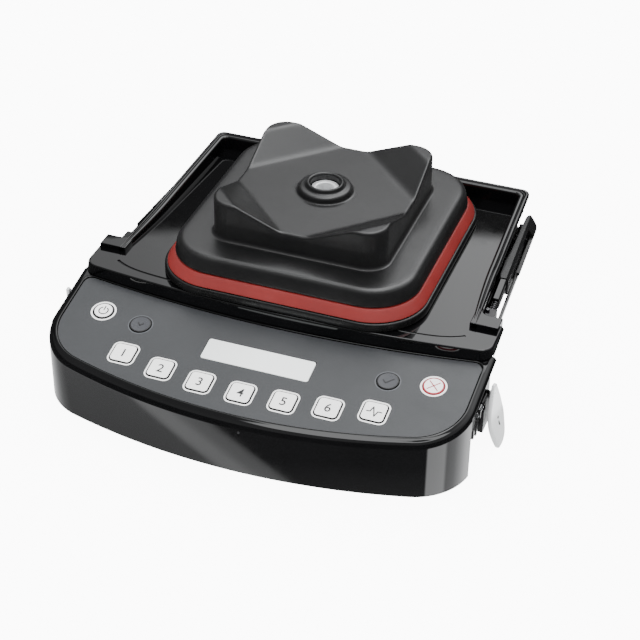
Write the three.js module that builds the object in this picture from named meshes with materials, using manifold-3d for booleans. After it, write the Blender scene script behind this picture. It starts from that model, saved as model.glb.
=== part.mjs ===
// Upper housing of a programmable countertop blender: deck with rim, control panel, jar pad and side latches.
// Millimetres. X to the right, Y to the back, Z up. Inside the group the deck floor is Z = 0 and the
// centre of the control panel's straight back line is Y = 0; the group moves the whole object so that
// the origin is the centre of its footprint on the surface that it stands on.
import * as THREE from 'three';
import { mergeVertices } from 'three/addons/utils/BufferGeometryUtils.js';
import Module from 'manifold-3d';

const wasm = await Module();
wasm.setup();

// ---------------------------------------------------------------- driving dimensions
const GAP = 0.3;                       // air between touching pieces
const BASE_Z = -48.5;                  // surface that the object stands on
const MIDDLE_Y = 32.1;                 // middle of the footprint, front to back

const PANEL_TILT = THREE.MathUtils.degToRad(10.85);
const PANEL_Z = -5.6;                  // height of the panel plane at Y = 0
const PANEL_HALF = 108;                // half width of the control housing
const PANEL_FRONT = -71.3;             // foremost point of the control housing
const FRONT_RADIUS = 320;              // bow of its front face
const CORNER_RADIUS = 30;
const PANEL_BACK = 3;                  // rear edge of its top plate, under the deck
const TOP_PLATE = 4;                   // thickness of the top plate
const WALL = 2.5;
const SKIRT_END_Y = -35.5;             // where the tall front wall stops on each side
const EDGE_STEP = 1.6;                 // depth of the shoulder round the top plate
const BEZEL_LIP = 0.4;                 // height of the lip round the overlay
const POCKET = 0.8;                    // depth of the overlay's pocket
const OVERLAY_INSET = 4.6;
const OVERLAY_BACK = -10.2;            // middle of the overlay's curved back edge
const OVERLAY_THICK = 0.5;

const KEY_PITCH = 21.2;
const KEY_ROW = -54.25;                // centre key, measured along the panel
const KEY_ROW_CURVE = 0.0018;
const KEY_HALF = 5.7;
const KEY_CORNER = 2.2;
const ROUND_KEY = 5.1;
const SELECT_KEY = 5.3;
const KEY_TRAVEL = 0.8;
const OUTER_KEY_X = 85;
const OUTER_KEY_Y = -23.6;
const INNER_KEY_X = 63.6;
const INNER_KEY_Y = -26.8;
const WINDOW_HALF = 27.4;
const WINDOW_FRONT = -38.25;
const WINDOW_BACK = -25.25;

const DECK_THICK = 3;
const DECK_HALF = 105.8;
const DECK_BOW = 0.00064;              // front edge: y = DECK_FRONT + DECK_BOW x^2
const DECK_FRONT = -8.3;
const DECK_CORNER = 7.5;
const SKIRT_SLOPE = 0.26;              // the deck's side skirts get shallower towards the back
const SKIRT_BACK = 21;
const EAR_FRONT = 15;
const EAR_BACK = 24;
const EAR_TOP = 2.5;
const EAR_HALF = 104.7;
const RIM_REAR = 135.5;
const RIM_SLOPE = 0.0447;              // the rim rises towards the back
const RIM_WALL_Z = -8.5;
const RIM_FLANGE = 2.5;                // depth of the rim's overhanging edge

const PAD_Y = 61.1;                    // centre of the jar pad
const DECK_HOLE = 34;
const HUB = 33;
const CAVITY = 22;
const PLATEAU_Z = 30.3;
const PRONG_Z = 39.6;
const PRONG_FOOT = 36.6;               // diagonal distance where a prong starts to rise
const PRONG_HEAD = 53;
const BLOCK_HALF = 45.2;
const BLOCK_CORNER = 11;
const FLANGE_Z = 18.9;
const FLANGE_BOTTOM = 10.2;
const FLANGE_HALF = 63.6;
const FLANGE_CORNER = 25.2;
const BOSS_HOLE = 7.5;
const CORNER_POINTS = 12;              // points of a ring round each of its corners

const CLAMP_RADIUS = 27.5;             // circle of the four pad screws
const BEARING_R = 10.7;
const SHAFT_R = 4.9;
const SPIN_GAP = 0.12;
const SOCKET_R = 7.1;
const SOCKET_TOP = 32.4;
const SOCKET_BORE = 4.2;

const RAIL_X = 97.2;                   // rail centre line at RAIL_Y
const RAIL_Y = 85;
const RAIL_TURN = THREE.MathUtils.degToRad(3.15);
const RAIL_TOP = -8;
const RAIL_BOTTOM = -10.5;

const PLATE_X = 104.6;                 // inner face of the lever's bracket
const BRACKET_SCREW_X = 97;
const PIN_X = 107.35;
const PIN_Z = -18;
const PIN_FRONT = -25.6;               // the two ears that carry the pin
const PIN_BACK = -9.4;
const PADDLE_FRONT = -12;
const PADDLE_SHEAR = 0.12;

// ---------------------------------------------------------------- materials
const glossBlack = plastic(0x0b0b0c, 0.12);
const satinGrey = plastic(0x5c5e60, 0.42);
const keyWhite = plastic(0xeeeeec, 0.4);
const keyGrey = plastic(0x4a4d52, 0.35);
const windowWhite = plastic(0xe4e8e8, 0.2);
const rubberBlack = plastic(0x2b2b2c, 0.6);
const rubberRed = plastic(0xa83832, 0.55);
const matteBlack = plastic(0x161617, 0.5);
const boardGreen = plastic(0x1f5a38, 0.5);
const steel = metal(0xc8cacc, 0.25);
const silver = metal(0xdadcdd, 0.3);
const aluminium = metal(0xa9abad, 0.4);

function plastic(color, roughness) {
  return new THREE.MeshStandardMaterial({ color, roughness, metalness: 0 });
}

function metal(color, roughness) {
  return new THREE.MeshStandardMaterial({ color, roughness, metalness: 1 });
}

// ---------------------------------------------------------------- solids
function solid(geometry) {
  const bare = geometry.clone();
  bare.deleteAttribute('normal');
  bare.deleteAttribute('uv');
  const merged = mergeVertices(bare, 1e-4);
  const index = merged.index.array;
  const faces = [];
  for (let i = 0; i < index.length; i += 3) {
    const [a, b, c] = [index[i], index[i + 1], index[i + 2]];
    if (a !== b && b !== c && c !== a) faces.push(a, b, c);
  }
  const mesh = new wasm.Mesh({
    numProp: 3,
    vertProperties: new Float32Array(merged.attributes.position.array),
    triVerts: new Uint32Array(faces),
  });
  return new wasm.Manifold(mesh);
}

function join(...geometries) {
  return geometries.map(toSolid).reduce((sum, piece) => sum.add(piece));
}

function cut(body, ...tools) {
  return tools.map(toSolid).reduce((rest, tool) => rest.subtract(tool), toSolid(body));
}

function common(a, b) {
  return toSolid(a).intersect(toSolid(b));
}

function toSolid(piece) {
  return piece.isBufferGeometry ? solid(piece) : piece;
}

function toGeometry(manifold) {
  const mesh = manifold.getMesh();
  const geometry = new THREE.BufferGeometry();
  geometry.setAttribute('position', new THREE.BufferAttribute(mesh.vertProperties, 3));
  geometry.setIndex(new THREE.BufferAttribute(mesh.triVerts, 1));
  return geometry;
}

function box(x0, x1, y0, y1, z0, z1) {
  const geometry = new THREE.BoxGeometry(x1 - x0, y1 - y0, z1 - z0);
  return geometry.translate((x0 + x1) / 2, (y0 + y1) / 2, (z0 + z1) / 2);
}

function prism(shape, z0, z1, curveSegments = 6) {
  const settings = { depth: z1 - z0, bevelEnabled: false, curveSegments };
  return new THREE.ExtrudeGeometry(shape, settings).translate(0, 0, z0);
}

function cylinder(x, y, z0, z1, radius, sides = 24) {
  const geometry = new THREE.CylinderGeometry(radius, radius, z1 - z0, sides);
  return geometry.rotateX(Math.PI / 2).translate(x, y, (z0 + z1) / 2);
}

// A cylinder along Y.
function axle(x, z, y0, y1, radius, sides = 20) {
  const geometry = new THREE.CylinderGeometry(radius, radius, y1 - y0, sides);
  return geometry.translate(x, (y0 + y1) / 2, z);
}

// A section drawn in X and Z, swept along Y.
function beam(shape, y0, y1, curveSegments = 6) {
  return prism(shape, 0, y1 - y0, curveSegments).rotateX(Math.PI / 2).translate(0, y1, 0);
}

function polygon(points) {
  return new THREE.Shape(points.map(([x, y]) => new THREE.Vector2(x, y)));
}

// A body of revolution about Z from a closed profile of [radius, height] pairs.
function turned(profile, sides = 40) {
  const points = [...profile, profile[0]].map(([r, z]) => new THREE.Vector2(r, z));
  return new THREE.LatheGeometry(points, sides).rotateX(Math.PI / 2);
}

// A helical wire spring about Z whose ends are closed.
function coil(radius, wire, z0, z1, turns) {
  const points = [];
  const count = turns * 8;
  for (let i = 0; i <= count; i += 1) {
    const angle = (i / count) * turns * Math.PI * 2;
    const height = z0 + wire + ((z1 - z0 - 2 * wire) * i) / count;
    points.push(new THREE.Vector3(radius * Math.cos(angle), radius * Math.sin(angle), height));
  }
  const section = new THREE.Shape().absarc(0, 0, wire, 0, Math.PI * 2);
  const settings = { steps: count, extrudePath: new THREE.CatmullRomCurve3(points), curveSegments: 3 };
  return new THREE.ExtrudeGeometry(section, { ...settings, bevelEnabled: false });
}

function roundedRectangle(x0, x1, y0, y1, r) {
  const shape = new THREE.Shape();
  shape.moveTo(x0 + r, y0);
  shape.lineTo(x1 - r, y0);
  shape.absarc(x1 - r, y0 + r, r, -Math.PI / 2, 0);
  shape.lineTo(x1, y1 - r);
  shape.absarc(x1 - r, y1 - r, r, 0, Math.PI / 2);
  shape.lineTo(x0 + r, y1);
  shape.absarc(x0 + r, y1 - r, r, Math.PI / 2, Math.PI);
  shape.lineTo(x0, y0 + r);
  shape.absarc(x0 + r, y0 + r, r, Math.PI, Math.PI * 1.5);
  return shape;
}

function circleShape(x, y, r) {
  return new THREE.Shape().absarc(x, y, r, 0, Math.PI * 2);
}

// The slab between two planes parallel to the panel, at offsets n0 and n1 along its normal.
function panelSlab(n0, n1, s0 = -150, s1 = 150) {
  const slab = box(-200, 200, s0, s1, n0, n1);
  return slab.rotateX(PANEL_TILT).translate(0, 0, PANEL_Z);
}

function mirrored(geometry) {
  const copy = geometry.clone().scale(-1, 1, 1);
  const index = copy.index.array;
  for (let i = 0; i < index.length; i += 3) {
    [index[i], index[i + 1]] = [index[i + 1], index[i]];
  }
  return copy;
}

// ---------------------------------------------------------------- scene helpers
const group = new THREE.Group();
group.position.set(0, -MIDDLE_Y, -BASE_Z);
const panel = new THREE.Group();
panel.position.set(0, 0, PANEL_Z);
panel.rotation.x = PANEL_TILT;
group.add(panel);

function place(parent, name, material, piece) {
  const geometry = piece.isBufferGeometry ? piece : toGeometry(piece);
  const mesh = new THREE.Mesh(geometry, material);
  mesh.name = name;
  parent.add(mesh);
  return mesh;
}

// The same piece on the right and, mirrored, on the left.
function placeBoth(name, material, piece) {
  const geometry = toGeometry(toSolid(piece));
  place(group, `${name}_right`, material, geometry);
  place(group, `${name}_left`, material, mirrored(geometry));
}

// ---------------------------------------------------------------- control housing
// Plan outline, inset evenly: straight sides, round corners and a bowed front.
function panelOutline(inset, back = PANEL_BACK) {
  const half = PANEL_HALF - inset;
  const corner = CORNER_RADIUS - inset;
  const cornerX = PANEL_HALF - CORNER_RADIUS;
  const bowY = PANEL_FRONT + FRONT_RADIUS;
  const reach = FRONT_RADIUS - CORNER_RADIUS;
  const cornerY = bowY - Math.sqrt(reach * reach - cornerX * cornerX);
  const lean = Math.asin(cornerX / reach);
  const shape = new THREE.Shape();
  shape.moveTo(half, back);
  shape.lineTo(half, cornerY);
  shape.absarc(cornerX, cornerY, corner, 0, -Math.PI / 2 + lean, true);
  shape.absarc(0, bowY, FRONT_RADIUS - inset, -Math.PI / 2 + lean, -Math.PI / 2 - lean, true);
  shape.absarc(-cornerX, cornerY, corner, -Math.PI / 2 - lean, -Math.PI, true);
  shape.lineTo(-half, back);
  return shape;
}

// The overlay keeps the housing's outline but has a curved back edge; it is drawn on the panel itself.
function overlayOutline(extra) {
  const inset = OVERLAY_INSET - extra;
  const half = PANEL_HALF - inset;
  const corner = CORNER_RADIUS - inset;
  const cornerX = PANEL_HALF - CORNER_RADIUS;
  const stretch = 1 / Math.cos(PANEL_TILT);
  const bowY = (PANEL_FRONT + 0.4) * stretch + FRONT_RADIUS;
  const reach = FRONT_RADIUS - CORNER_RADIUS;
  const cornerY = bowY - Math.sqrt(reach * reach - cornerX * cornerX);
  const lean = Math.asin(cornerX / reach);
  const side = -3.4 + extra;
  const round = 5;
  const shape = new THREE.Shape();
  shape.moveTo(half, side - round);
  shape.lineTo(half, cornerY);
  shape.absarc(cornerX, cornerY, corner, 0, -Math.PI / 2 + lean, true);
  shape.absarc(0, bowY, FRONT_RADIUS - inset, -Math.PI / 2 + lean, -Math.PI / 2 - lean, true);
  shape.absarc(-cornerX, cornerY, corner, -Math.PI / 2 - lean, -Math.PI, true);
  shape.lineTo(-half, side - round);
  shape.quadraticCurveTo(-half, side, -half + round, side - 0.3);
  shape.quadraticCurveTo(0, 2 * (OVERLAY_BACK + extra) - side, half - round, side - 0.3);
  shape.quadraticCurveTo(half, side, half, side - round);
  return shape;
}

function roundKeys() {
  return [
    { name: 'key_power', x: -OUTER_KEY_X, y: OUTER_KEY_Y, r: ROUND_KEY, material: keyWhite },
    { name: 'key_select', x: -INNER_KEY_X, y: INNER_KEY_Y, r: SELECT_KEY, material: keyGrey },
    { name: 'key_confirm', x: INNER_KEY_X, y: INNER_KEY_Y, r: SELECT_KEY, material: keyGrey },
    { name: 'key_cancel', x: OUTER_KEY_X, y: OUTER_KEY_Y, r: ROUND_KEY, material: keyWhite },
  ];
}

function squareKeys() {
  return [-3, -2, -1, 0, 1, 2, 3].map((step) => {
    const x = step * KEY_PITCH;
    const name = step === 3 ? 'key_pulse' : `key_${step + 4}`;
    return { name, x, y: KEY_ROW + KEY_ROW_CURVE * x * x, material: keyWhite };
  });
}

function keyShape(key, extra) {
  if (key.r) return circleShape(key.x, key.y, key.r + extra);
  const half = KEY_HALF + extra;
  return roundedRectangle(key.x - half, key.x + half, key.y - half, key.y + half, KEY_CORNER + extra);
}

function windowShape(extra) {
  const half = WINDOW_HALF + extra;
  return roundedRectangle(-half, half, WINDOW_FRONT - extra, WINDOW_BACK + extra, 1.2);
}

function keyPrism(key, extra, z0, z1) {
  return prism(keyShape(key, extra), z0, z1, key.r ? 10 : 2);
}

function onPanel(piece) {
  return piece.rotateX(PANEL_TILT).translate(0, 0, PANEL_Z);
}

const LUGS = [-85, -30, 30, 85];
const LUG_Y = 9;

function controlHousing() {
  const full = common(prism(panelOutline(0), BASE_Z, 20, 4), panelSlab(-90, -EDGE_STEP));
  const crown = common(prism(panelOutline(EDGE_STEP * 0.7), BASE_Z, 20, 4), panelSlab(-90, BEZEL_LIP));
  const inside = common(prism(panelOutline(WALL, 10), BASE_Z - 1, 20, 4), panelSlab(-90, -TOP_PLATE));
  const openSides = common(
    join(box(-120, -96, SKIRT_END_Y, 20, BASE_Z - 1, 10), box(96, 120, SKIRT_END_Y, 20, BASE_Z - 1, 10)),
    panelSlab(-90, -TOP_PLATE),
  );
  const thinEdges = common(
    join(box(-120, -103.6, SKIRT_END_Y, 20, BASE_Z - 1, 10), box(103.6, 120, SKIRT_END_Y, 20, BASE_Z - 1, 10)),
    panelSlab(-90, 0.1 - EDGE_STEP),
  );
  const lugs = LUGS.map((x) => box(x - 6, x + 6, 0, LUG_Y + 5, -8.1, -5.7));
  const keys = [...squareKeys(), ...roundKeys()];
  const wells = keys.map((key) => onPanel(keyPrism(key, 0.3, -2.6, 2)));
  const stems = keys.map((key) => onPanel(cylinder(key.x, key.y, -6, 0, 3, 12)));
  const pinhole = new THREE.CylinderGeometry(0.6, 0.6, 8, 12).translate(6, PANEL_FRONT, -24);
  return cut(
    join(cut(join(full, crown), inside, openSides, thinEdges), ...lugs),
    onPanel(prism(overlayOutline(0.3), -POCKET, 3, 5)),
    onPanel(prism(windowShape(0.3), -8, 3, 2)),
    pinhole,
    ...wells,
    ...stems,
    ...LUGS.map((x) => cylinder(x, LUG_Y, -9, -5, 1.7, 16)),
    ...[-1, 1].map((side) => cylinder(side * BRACKET_SCREW_X, -14, -14, -9.8, 1.5, 14)),
  );
}

function overlay() {
  const openings = [...squareKeys(), ...roundKeys()].map((key) => keyPrism(key, 0.3, -3, 3));
  const sheet = prism(overlayOutline(0), -OVERLAY_THICK, 0, 5);
  return cut(sheet, ...openings, prism(windowShape(0.3), -3, 3, 2));
}

function keyCap(key) {
  return join(keyPrism(key, 0, -1.4, 0.5), cylinder(key.x, key.y, -6.4, -1, 2.6, 12));
}

function controlBoard() {
  const plate = roundedRectangle(-92, 92, -60.5, -18, 20);
  const keys = [...squareKeys(), ...roundKeys()];
  const switches = keys.map(({ x, y }) => box(x - 3, x + 3, y - 3, y + 3, -8.4, -7.5));
  return join(prism(plate, -9.6, -8, 2), ...switches);
}

function displayModule() {
  const frame = box(-30, 30, WINDOW_FRONT - 2, WINDOW_BACK + 2, -7.6, -4.4);
  const glass = box(-26, 26, WINDOW_FRONT + 1, WINDOW_BACK - 1, -5, -1.7);
  return join(frame, glass);
}

// ---------------------------------------------------------------- top housing
function deckFront(inset, back) {
  const half = DECK_HALF - inset;
  const x = half - DECK_CORNER;
  const edge = DECK_FRONT + inset + DECK_BOW * x * x;
  const shape = new THREE.Shape();
  shape.moveTo(half, back);
  shape.lineTo(half, edge + DECK_CORNER);
  shape.quadraticCurveTo(half, edge + 0.6, x, edge);
  shape.quadraticCurveTo(0, DECK_FRONT + inset - DECK_BOW * x * x, -x, edge);
  shape.quadraticCurveTo(-half, edge + 0.6, -half, edge + DECK_CORNER);
  shape.lineTo(-half, back);
  return shape;
}

function rimOutline(frontX, midX, midY, rearX, rearY, radius, front) {
  const shape = new THREE.Shape();
  shape.moveTo(-frontX, front);
  shape.lineTo(frontX, front);
  shape.quadraticCurveTo(midX + 0.4, midY - 18, midX, midY);
  shape.lineTo(rearX, rearY - radius);
  shape.absarc(rearX - radius, rearY - radius, radius, 0, Math.PI / 2);
  shape.absarc(-rearX + radius, rearY - radius, radius, Math.PI / 2, Math.PI);
  shape.lineTo(-midX, midY);
  shape.quadraticCurveTo(-midX - 0.4, midY - 18, -frontX, front);
  return shape;
}

// A shallow curved groove in the deck, from the pad's base to near the deck's corner.
function grooveOutline(side) {
  const path = (t) => {
    const x = 46 + 45 * t;
    return [side * x, -0.9 + 3.2 * t + 5 * t ** 6];
  };
  const near = [];
  const far = [];
  for (let i = 0; i <= 9; i += 1) {
    const [x, y] = path(i / 9);
    near.push(new THREE.Vector2(x, y - 0.6));
    far.unshift(new THREE.Vector2(x, y + 0.6));
  }
  return new THREE.Shape([...near, ...far]);
}

// Pieces that run along a side rail are drawn along Y and then turned to lie on it.
function alongRail(geometry) {
  return geometry.rotateZ(RAIL_TURN).translate(RAIL_X, RAIL_Y, 0);
}

function sideParts() {
  const rail = alongRail(box(-0.8, 0.8, EAR_BACK - RAIL_Y - 2, 27, RAIL_BOTTOM, RAIL_TOP));
  const ear = box(90.6, EAR_HALF, EAR_FRONT, EAR_BACK, -DECK_THICK, EAR_TOP);
  const web = box(90.6, 101.4, EAR_FRONT, EAR_BACK, RAIL_BOTTOM, 0);
  const floor = alongRail(box(-10, 0.5, -5, 42, RAIL_BOTTOM - 2, RAIL_BOTTOM + 0.1));
  const gutter = alongRail(box(-10, -5.3, -49.4, -4, RAIL_BOTTOM - 2, RAIL_BOTTOM + 0.1));
  const kerb = alongRail(box(-8, -6.4, -63, 42, RAIL_BOTTOM - 2, RIM_WALL_Z + 0.2));
  const wall = box(86.5, 89, 80, 112, RAIL_BOTTOM - 2, 0);
  const fillet = new THREE.Shape();
  fillet.moveTo(92, EAR_BACK - 1);
  fillet.lineTo(98, EAR_BACK - 1);
  fillet.lineTo(98, EAR_BACK);
  fillet.quadraticCurveTo(93.8, EAR_BACK, 93.6, EAR_BACK + 5);
  fillet.lineTo(92, EAR_BACK + 5);
  return join(rail, ear, web, floor, gutter, kerb, wall, prism(fillet, RIM_WALL_Z, EAR_TOP, 5));
}

const POSTS = [
  [-60, 18],
  [60, 18],
  [-60, 118],
  [60, 118],
];

function topHousing() {
  const underDeck = prism(deckFront(WALL, SKIRT_BACK + 1), -10, -DECK_THICK, 8);
  const front = cut(prism(deckFront(0, SKIRT_BACK), -9, 0, 8), underDeck);
  const outer = rimOutline(94.2, 91.9, 66, 89.3, RIM_REAR, 4, EAR_FRONT);
  const neck = rimOutline(92.6, 89.4, 66, 87.2, RIM_REAR - 2.6, 3, EAR_FRONT);
  const inner = rimOutline(91.6, 86.9, 66, 84.4, RIM_REAR - 5.5, 3, EAR_FRONT - 1);
  const slope = box(-200, 200, -200, 200, 0, 40).rotateX(Math.atan(RIM_SLOPE));
  slope.translate(0, EAR_FRONT, EAR_TOP);
  const underFlange = box(-200, 200, -200, 200, -60, 0).rotateX(Math.atan(RIM_SLOPE));
  underFlange.translate(0, EAR_FRONT, EAR_TOP - RIM_FLANGE);
  const flange = cut(prism(outer, RIM_WALL_Z, 12, 4), underFlange);
  const rim = cut(join(flange, prism(neck, RIM_WALL_Z, 12, 4)), prism(inner, -20, 20, 4), slope);
  const floor = prism(neck, -DECK_THICK, 0, 4);
  const right = sideParts();
  const left = mirrored(toGeometry(right));
  const posts = POSTS.map(([x, y]) => cylinder(x, y, BASE_Z, -2, 5, 20));
  const bosses = LUGS.map((x) => cylinder(x, LUG_Y, -5.4, -2, 4, 16));
  const underPanel = panelSlab(-60, BEZEL_LIP + 0.35, -150, PANEL_BACK + 0.4);
  const underSkirts = box(-200, 200, -200, 60, -60, 0).rotateX(Math.atan(SKIRT_SLOPE));
  const frontEdge = cut(front, underPanel, underSkirts.translate(0, SKIRT_BACK, -1.4));
  return cut(
    join(frontEdge, floor, rim, right, left, ...posts, ...bosses),
    cylinder(0, PAD_Y, -20, 20, DECK_HOLE, 48),
    prism(grooveOutline(1), -0.6, 1),
    prism(grooveOutline(-1), -0.6, 1),
    ...POSTS.map(([x, y]) => cylinder(x, y, BASE_Z - 1, BASE_Z + 20, 1.75, 16)),
    ...LUGS.map((x) => cylinder(x, LUG_Y, -7, -1.2, 1.6, 16)),
  );
}

// ---------------------------------------------------------------- jar pad
// Rings all have the same number of points, so that each can be joined to the next.
function roundSquare(half, radius) {
  const centre = half - radius;
  const points = [];
  for (let corner = 0; corner < 4; corner += 1) {
    const middle = (corner + 0.5) * (Math.PI / 2);
    for (let i = 0; i < CORNER_POINTS; i += 1) {
      const angle = middle + (i / (CORNER_POINTS - 1) - 0.5) * (Math.PI / 2);
      const x = centre * Math.SQRT2 * Math.cos(middle) + radius * Math.cos(angle);
      const y = centre * Math.SQRT2 * Math.sin(middle) + radius * Math.sin(angle);
      points.push([x, y]);
    }
  }
  return points;
}

function circleRing(radius) {
  const count = 4 * CORNER_POINTS;
  const points = [];
  for (let i = 0; i < count; i += 1) {
    const angle = ((i + 0.5) / count) * Math.PI * 2;
    points.push([radius * Math.cos(angle), radius * Math.sin(angle)]);
  }
  return points;
}

// A closed ring-shaped body through rings given as [points, height].
function ringBody(rings) {
  const sides = 4 * CORNER_POINTS;
  const positions = rings.flatMap(([points, z]) => points.flatMap(([x, y]) => [x, y + PAD_Y, z]));
  const faces = [];
  for (let k = 0; k < rings.length; k += 1) {
    const next = (k + 1) % rings.length;
    for (let i = 0; i < sides; i += 1) {
      const j = (i + 1) % sides;
      const [a, b, c, d] = [k * sides + i, k * sides + j, next * sides + j, next * sides + i];
      faces.push(a, d, b, b, d, c);
    }
  }
  const geometry = new THREE.BufferGeometry();
  geometry.setAttribute('position', new THREE.Float32BufferAttribute(positions, 3));
  geometry.setIndex(faces);
  return solid(geometry);
}

// The pad: a square block on a flange, with a boss in the middle of its top. The top is a plateau from which a
// prong rises towards each corner: what is cut away above it is an inverted pyramid with its edges on the axes.
function jarPad() {
  const flange = ringBody([
    [circleRing(5), FLANGE_BOTTOM],
    [circleRing(5), FLANGE_Z],
    [roundSquare(FLANGE_HALF - 5.6, FLANGE_CORNER - 5.6), FLANGE_Z],
    [roundSquare(FLANGE_HALF - 2.4, FLANGE_CORNER - 2.4), FLANGE_Z - 1.2],
    [roundSquare(FLANGE_HALF - 0.6, FLANGE_CORNER - 0.6), FLANGE_Z - 3.4],
    [roundSquare(FLANGE_HALF, FLANGE_CORNER), FLANGE_Z - 5.4],
    [roundSquare(FLANGE_HALF, FLANGE_CORNER), FLANGE_BOTTOM],
  ]);
  const foot = ringBody([
    [circleRing(5), FLANGE_Z - 1],
    [circleRing(5), FLANGE_Z + 1.6],
    [roundSquare(BLOCK_HALF - 0.01, BLOCK_CORNER), FLANGE_Z + 1.6],
    [roundSquare(BLOCK_HALF + 1.6, BLOCK_CORNER + 1.6), FLANGE_Z - 0.01],
    [roundSquare(BLOCK_HALF + 1.6, BLOCK_CORNER + 1.6), FLANGE_Z - 1],
  ]);
  const half = BLOCK_HALF;
  const square = roundedRectangle(-half, half, PAD_Y - half, PAD_Y + half, BLOCK_CORNER);
  const slope = (PRONG_Z - PLATEAU_Z) / (PRONG_HEAD - PRONG_FOOT);
  const above = [
    [0, PLATEAU_Z],
    [PRONG_FOOT - 1.5, PLATEAU_Z],
    [PRONG_FOOT + 1.5, PLATEAU_Z + 1.5 * slope],
    [PRONG_HEAD, PRONG_Z],
    [PRONG_HEAD + 8, PRONG_Z + 8 * slope],
    [0, PRONG_Z + 8 * slope],
  ];
  const pyramid = aboutPad(turned(above.map(([d, z]) => [d * Math.SQRT2, z]), 4));
  const boss = [
    [5, PLATEAU_Z - 1],
    [13.9, PLATEAU_Z - 1],
    [13.9, PLATEAU_Z + 2],
    [13.2, 33.1],
    [9.7, 33.8],
    [9.2, 35.6],
    [8.2, 35.7],
    [BOSS_HOLE, 35.2],
    [5, 35.2],
  ];
  const cavity = [
    [0, -4],
    [CAVITY, -4],
    [CAVITY, 24],
    [CAVITY - 4, 27.2],
    [BOSS_HOLE, 28],
    [BOSS_HOLE, 40],
    [0, 40],
  ];
  const block = cut(prism(square, FLANGE_Z, PRONG_Z, 3), pyramid);
  const hub = cylinder(0, PAD_Y, -DECK_THICK, FLANGE_BOTTOM + 1, HUB, 48);
  const holes = clampPoints().map(([x, y]) => cylinder(x, y, -5, 6, 2.1, 12));
  const whole = join(flange, foot, block, aboutPad(turned(boss, 32)), hub);
  return cut(whole, aboutPad(turned(cavity, 32)), ...holes);
}

function redRing() {
  return ringBody([
    [circleRing(DECK_HOLE), 4.5],
    [circleRing(DECK_HOLE), FLANGE_BOTTOM - GAP],
    [roundSquare(FLANGE_HALF + 0.2, FLANGE_CORNER + 0.2), FLANGE_BOTTOM - GAP],
    [roundSquare(FLANGE_HALF + 3.6, FLANGE_CORNER + 2.4), 5.2],
    [roundSquare(FLANGE_HALF + 3.7, FLANGE_CORNER + 2.5), 4.5],
  ]);
}

function baseRing() {
  return ringBody([
    [circleRing(DECK_HOLE), GAP],
    [circleRing(DECK_HOLE), 4.2],
    [roundSquare(FLANGE_HALF + 4.2, FLANGE_CORNER + 2.8), 4.2],
    [roundSquare(FLANGE_HALF + 4.9, FLANGE_CORNER + 3.2), 3.4],
    [roundSquare(FLANGE_HALF + 5, FLANGE_CORNER + 3.3), GAP],
  ]);
}

// ---------------------------------------------------------------- drive
function clampPoints() {
  return [45, 135, 225, 315].map((degrees) => {
    const angle = THREE.MathUtils.degToRad(degrees);
    return [CLAMP_RADIUS * Math.cos(angle), PAD_Y + CLAMP_RADIUS * Math.sin(angle)];
  });
}

function aboutPad(geometry) {
  return geometry.translate(0, PAD_Y, 0);
}

function retainerPlate() {
  const plate = aboutPad(turned([[14.6, -5.6], [44, -5.6], [44, -3.3], [14.6, -3.3]], 36));
  return cut(plate, ...clampPoints().map(([x, y]) => cylinder(x, y, -8, 0, 2.2, 12)));
}

function bearingHousing() {
  const profile = [
    [11.1, -12],
    [14.2, -12],
    [14.2, -9],
    [HUB, -9],
    [HUB, -5.9],
    [14.2, -5.9],
    [14.2, 20],
    [7, 20],
    [7, 17],
    [11.1, 17],
  ];
  const shell = aboutPad(turned(profile, 36));
  return cut(shell, ...clampPoints().map(([x, y]) => cylinder(x, y, -12, 0, 2.2, 12)));
}

function driveBearing() {
  const inner = SHAFT_R + SPIN_GAP;
  return aboutPad(turned([[inner, 7], [BEARING_R, 7], [BEARING_R, 15], [inner, 15]], 40));
}

function driveShaft() {
  const profile = [
    [0, -30],
    [SHAFT_R - 0.8, -30],
    [SHAFT_R, -29],
    [SHAFT_R, 25.2],
    [SHAFT_R - 0.6, 25.8],
    [0, 25.8],
  ];
  const bar = new THREE.LatheGeometry(profile.map(([r, z]) => new THREE.Vector2(r, z)), 40);
  const flats = [-1, 1].map((side) => {
    const x = side * (SHAFT_R + 2);
    return box(x - 3, x + 3, PAD_Y - 8, PAD_Y + 8, -31, -20);
  });
  return cut(aboutPad(bar.rotateX(Math.PI / 2)), ...flats);
}

function driveSocket() {
  const profile = [
    [SHAFT_R + GAP, 21],
    [SOCKET_R - 0.8, 21],
    [SOCKET_R, 22],
    [SOCKET_R, SOCKET_TOP - 0.7],
    [SOCKET_R - 0.7, SOCKET_TOP],
    [SOCKET_BORE + 0.4, SOCKET_TOP],
    [SOCKET_BORE, SOCKET_TOP - 0.4],
    [SOCKET_BORE, 26.1],
    [SHAFT_R + GAP, 26.1],
  ];
  return aboutPad(turned(profile, 32));
}

function retainingRing() {
  return aboutPad(turned([[SHAFT_R + 0.1, 5.4], [7.4, 5.4], [7.4, 6.6], [SHAFT_R + 0.1, 6.6]], 24));
}

function screw(x, y, headTop, headHeight, headRadius, tip, radius) {
  const slot = box(x - headRadius * 0.7, x + headRadius * 0.7, y - 0.5, y + 0.5, headTop - headHeight - 1,
    headTop - headHeight + 0.7);
  const head = cylinder(x, y, headTop - headHeight, headTop, headRadius, 20);
  return cut(join(head, cylinder(x, y, headTop - 0.2, tip, radius, 14)), slot);
}

// ---------------------------------------------------------------- side latch
// Drawn along Y about the rail, on the right side. The slider's body lies inside the rail, its hood goes over
// the rail's rear end and a fin runs forwards from the hood on top of the rail.
const PIN_LINE = -3.6;
const PIN_LEVEL = -3.8;
const GUIDE_SCREW_X = -5.2;

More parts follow.
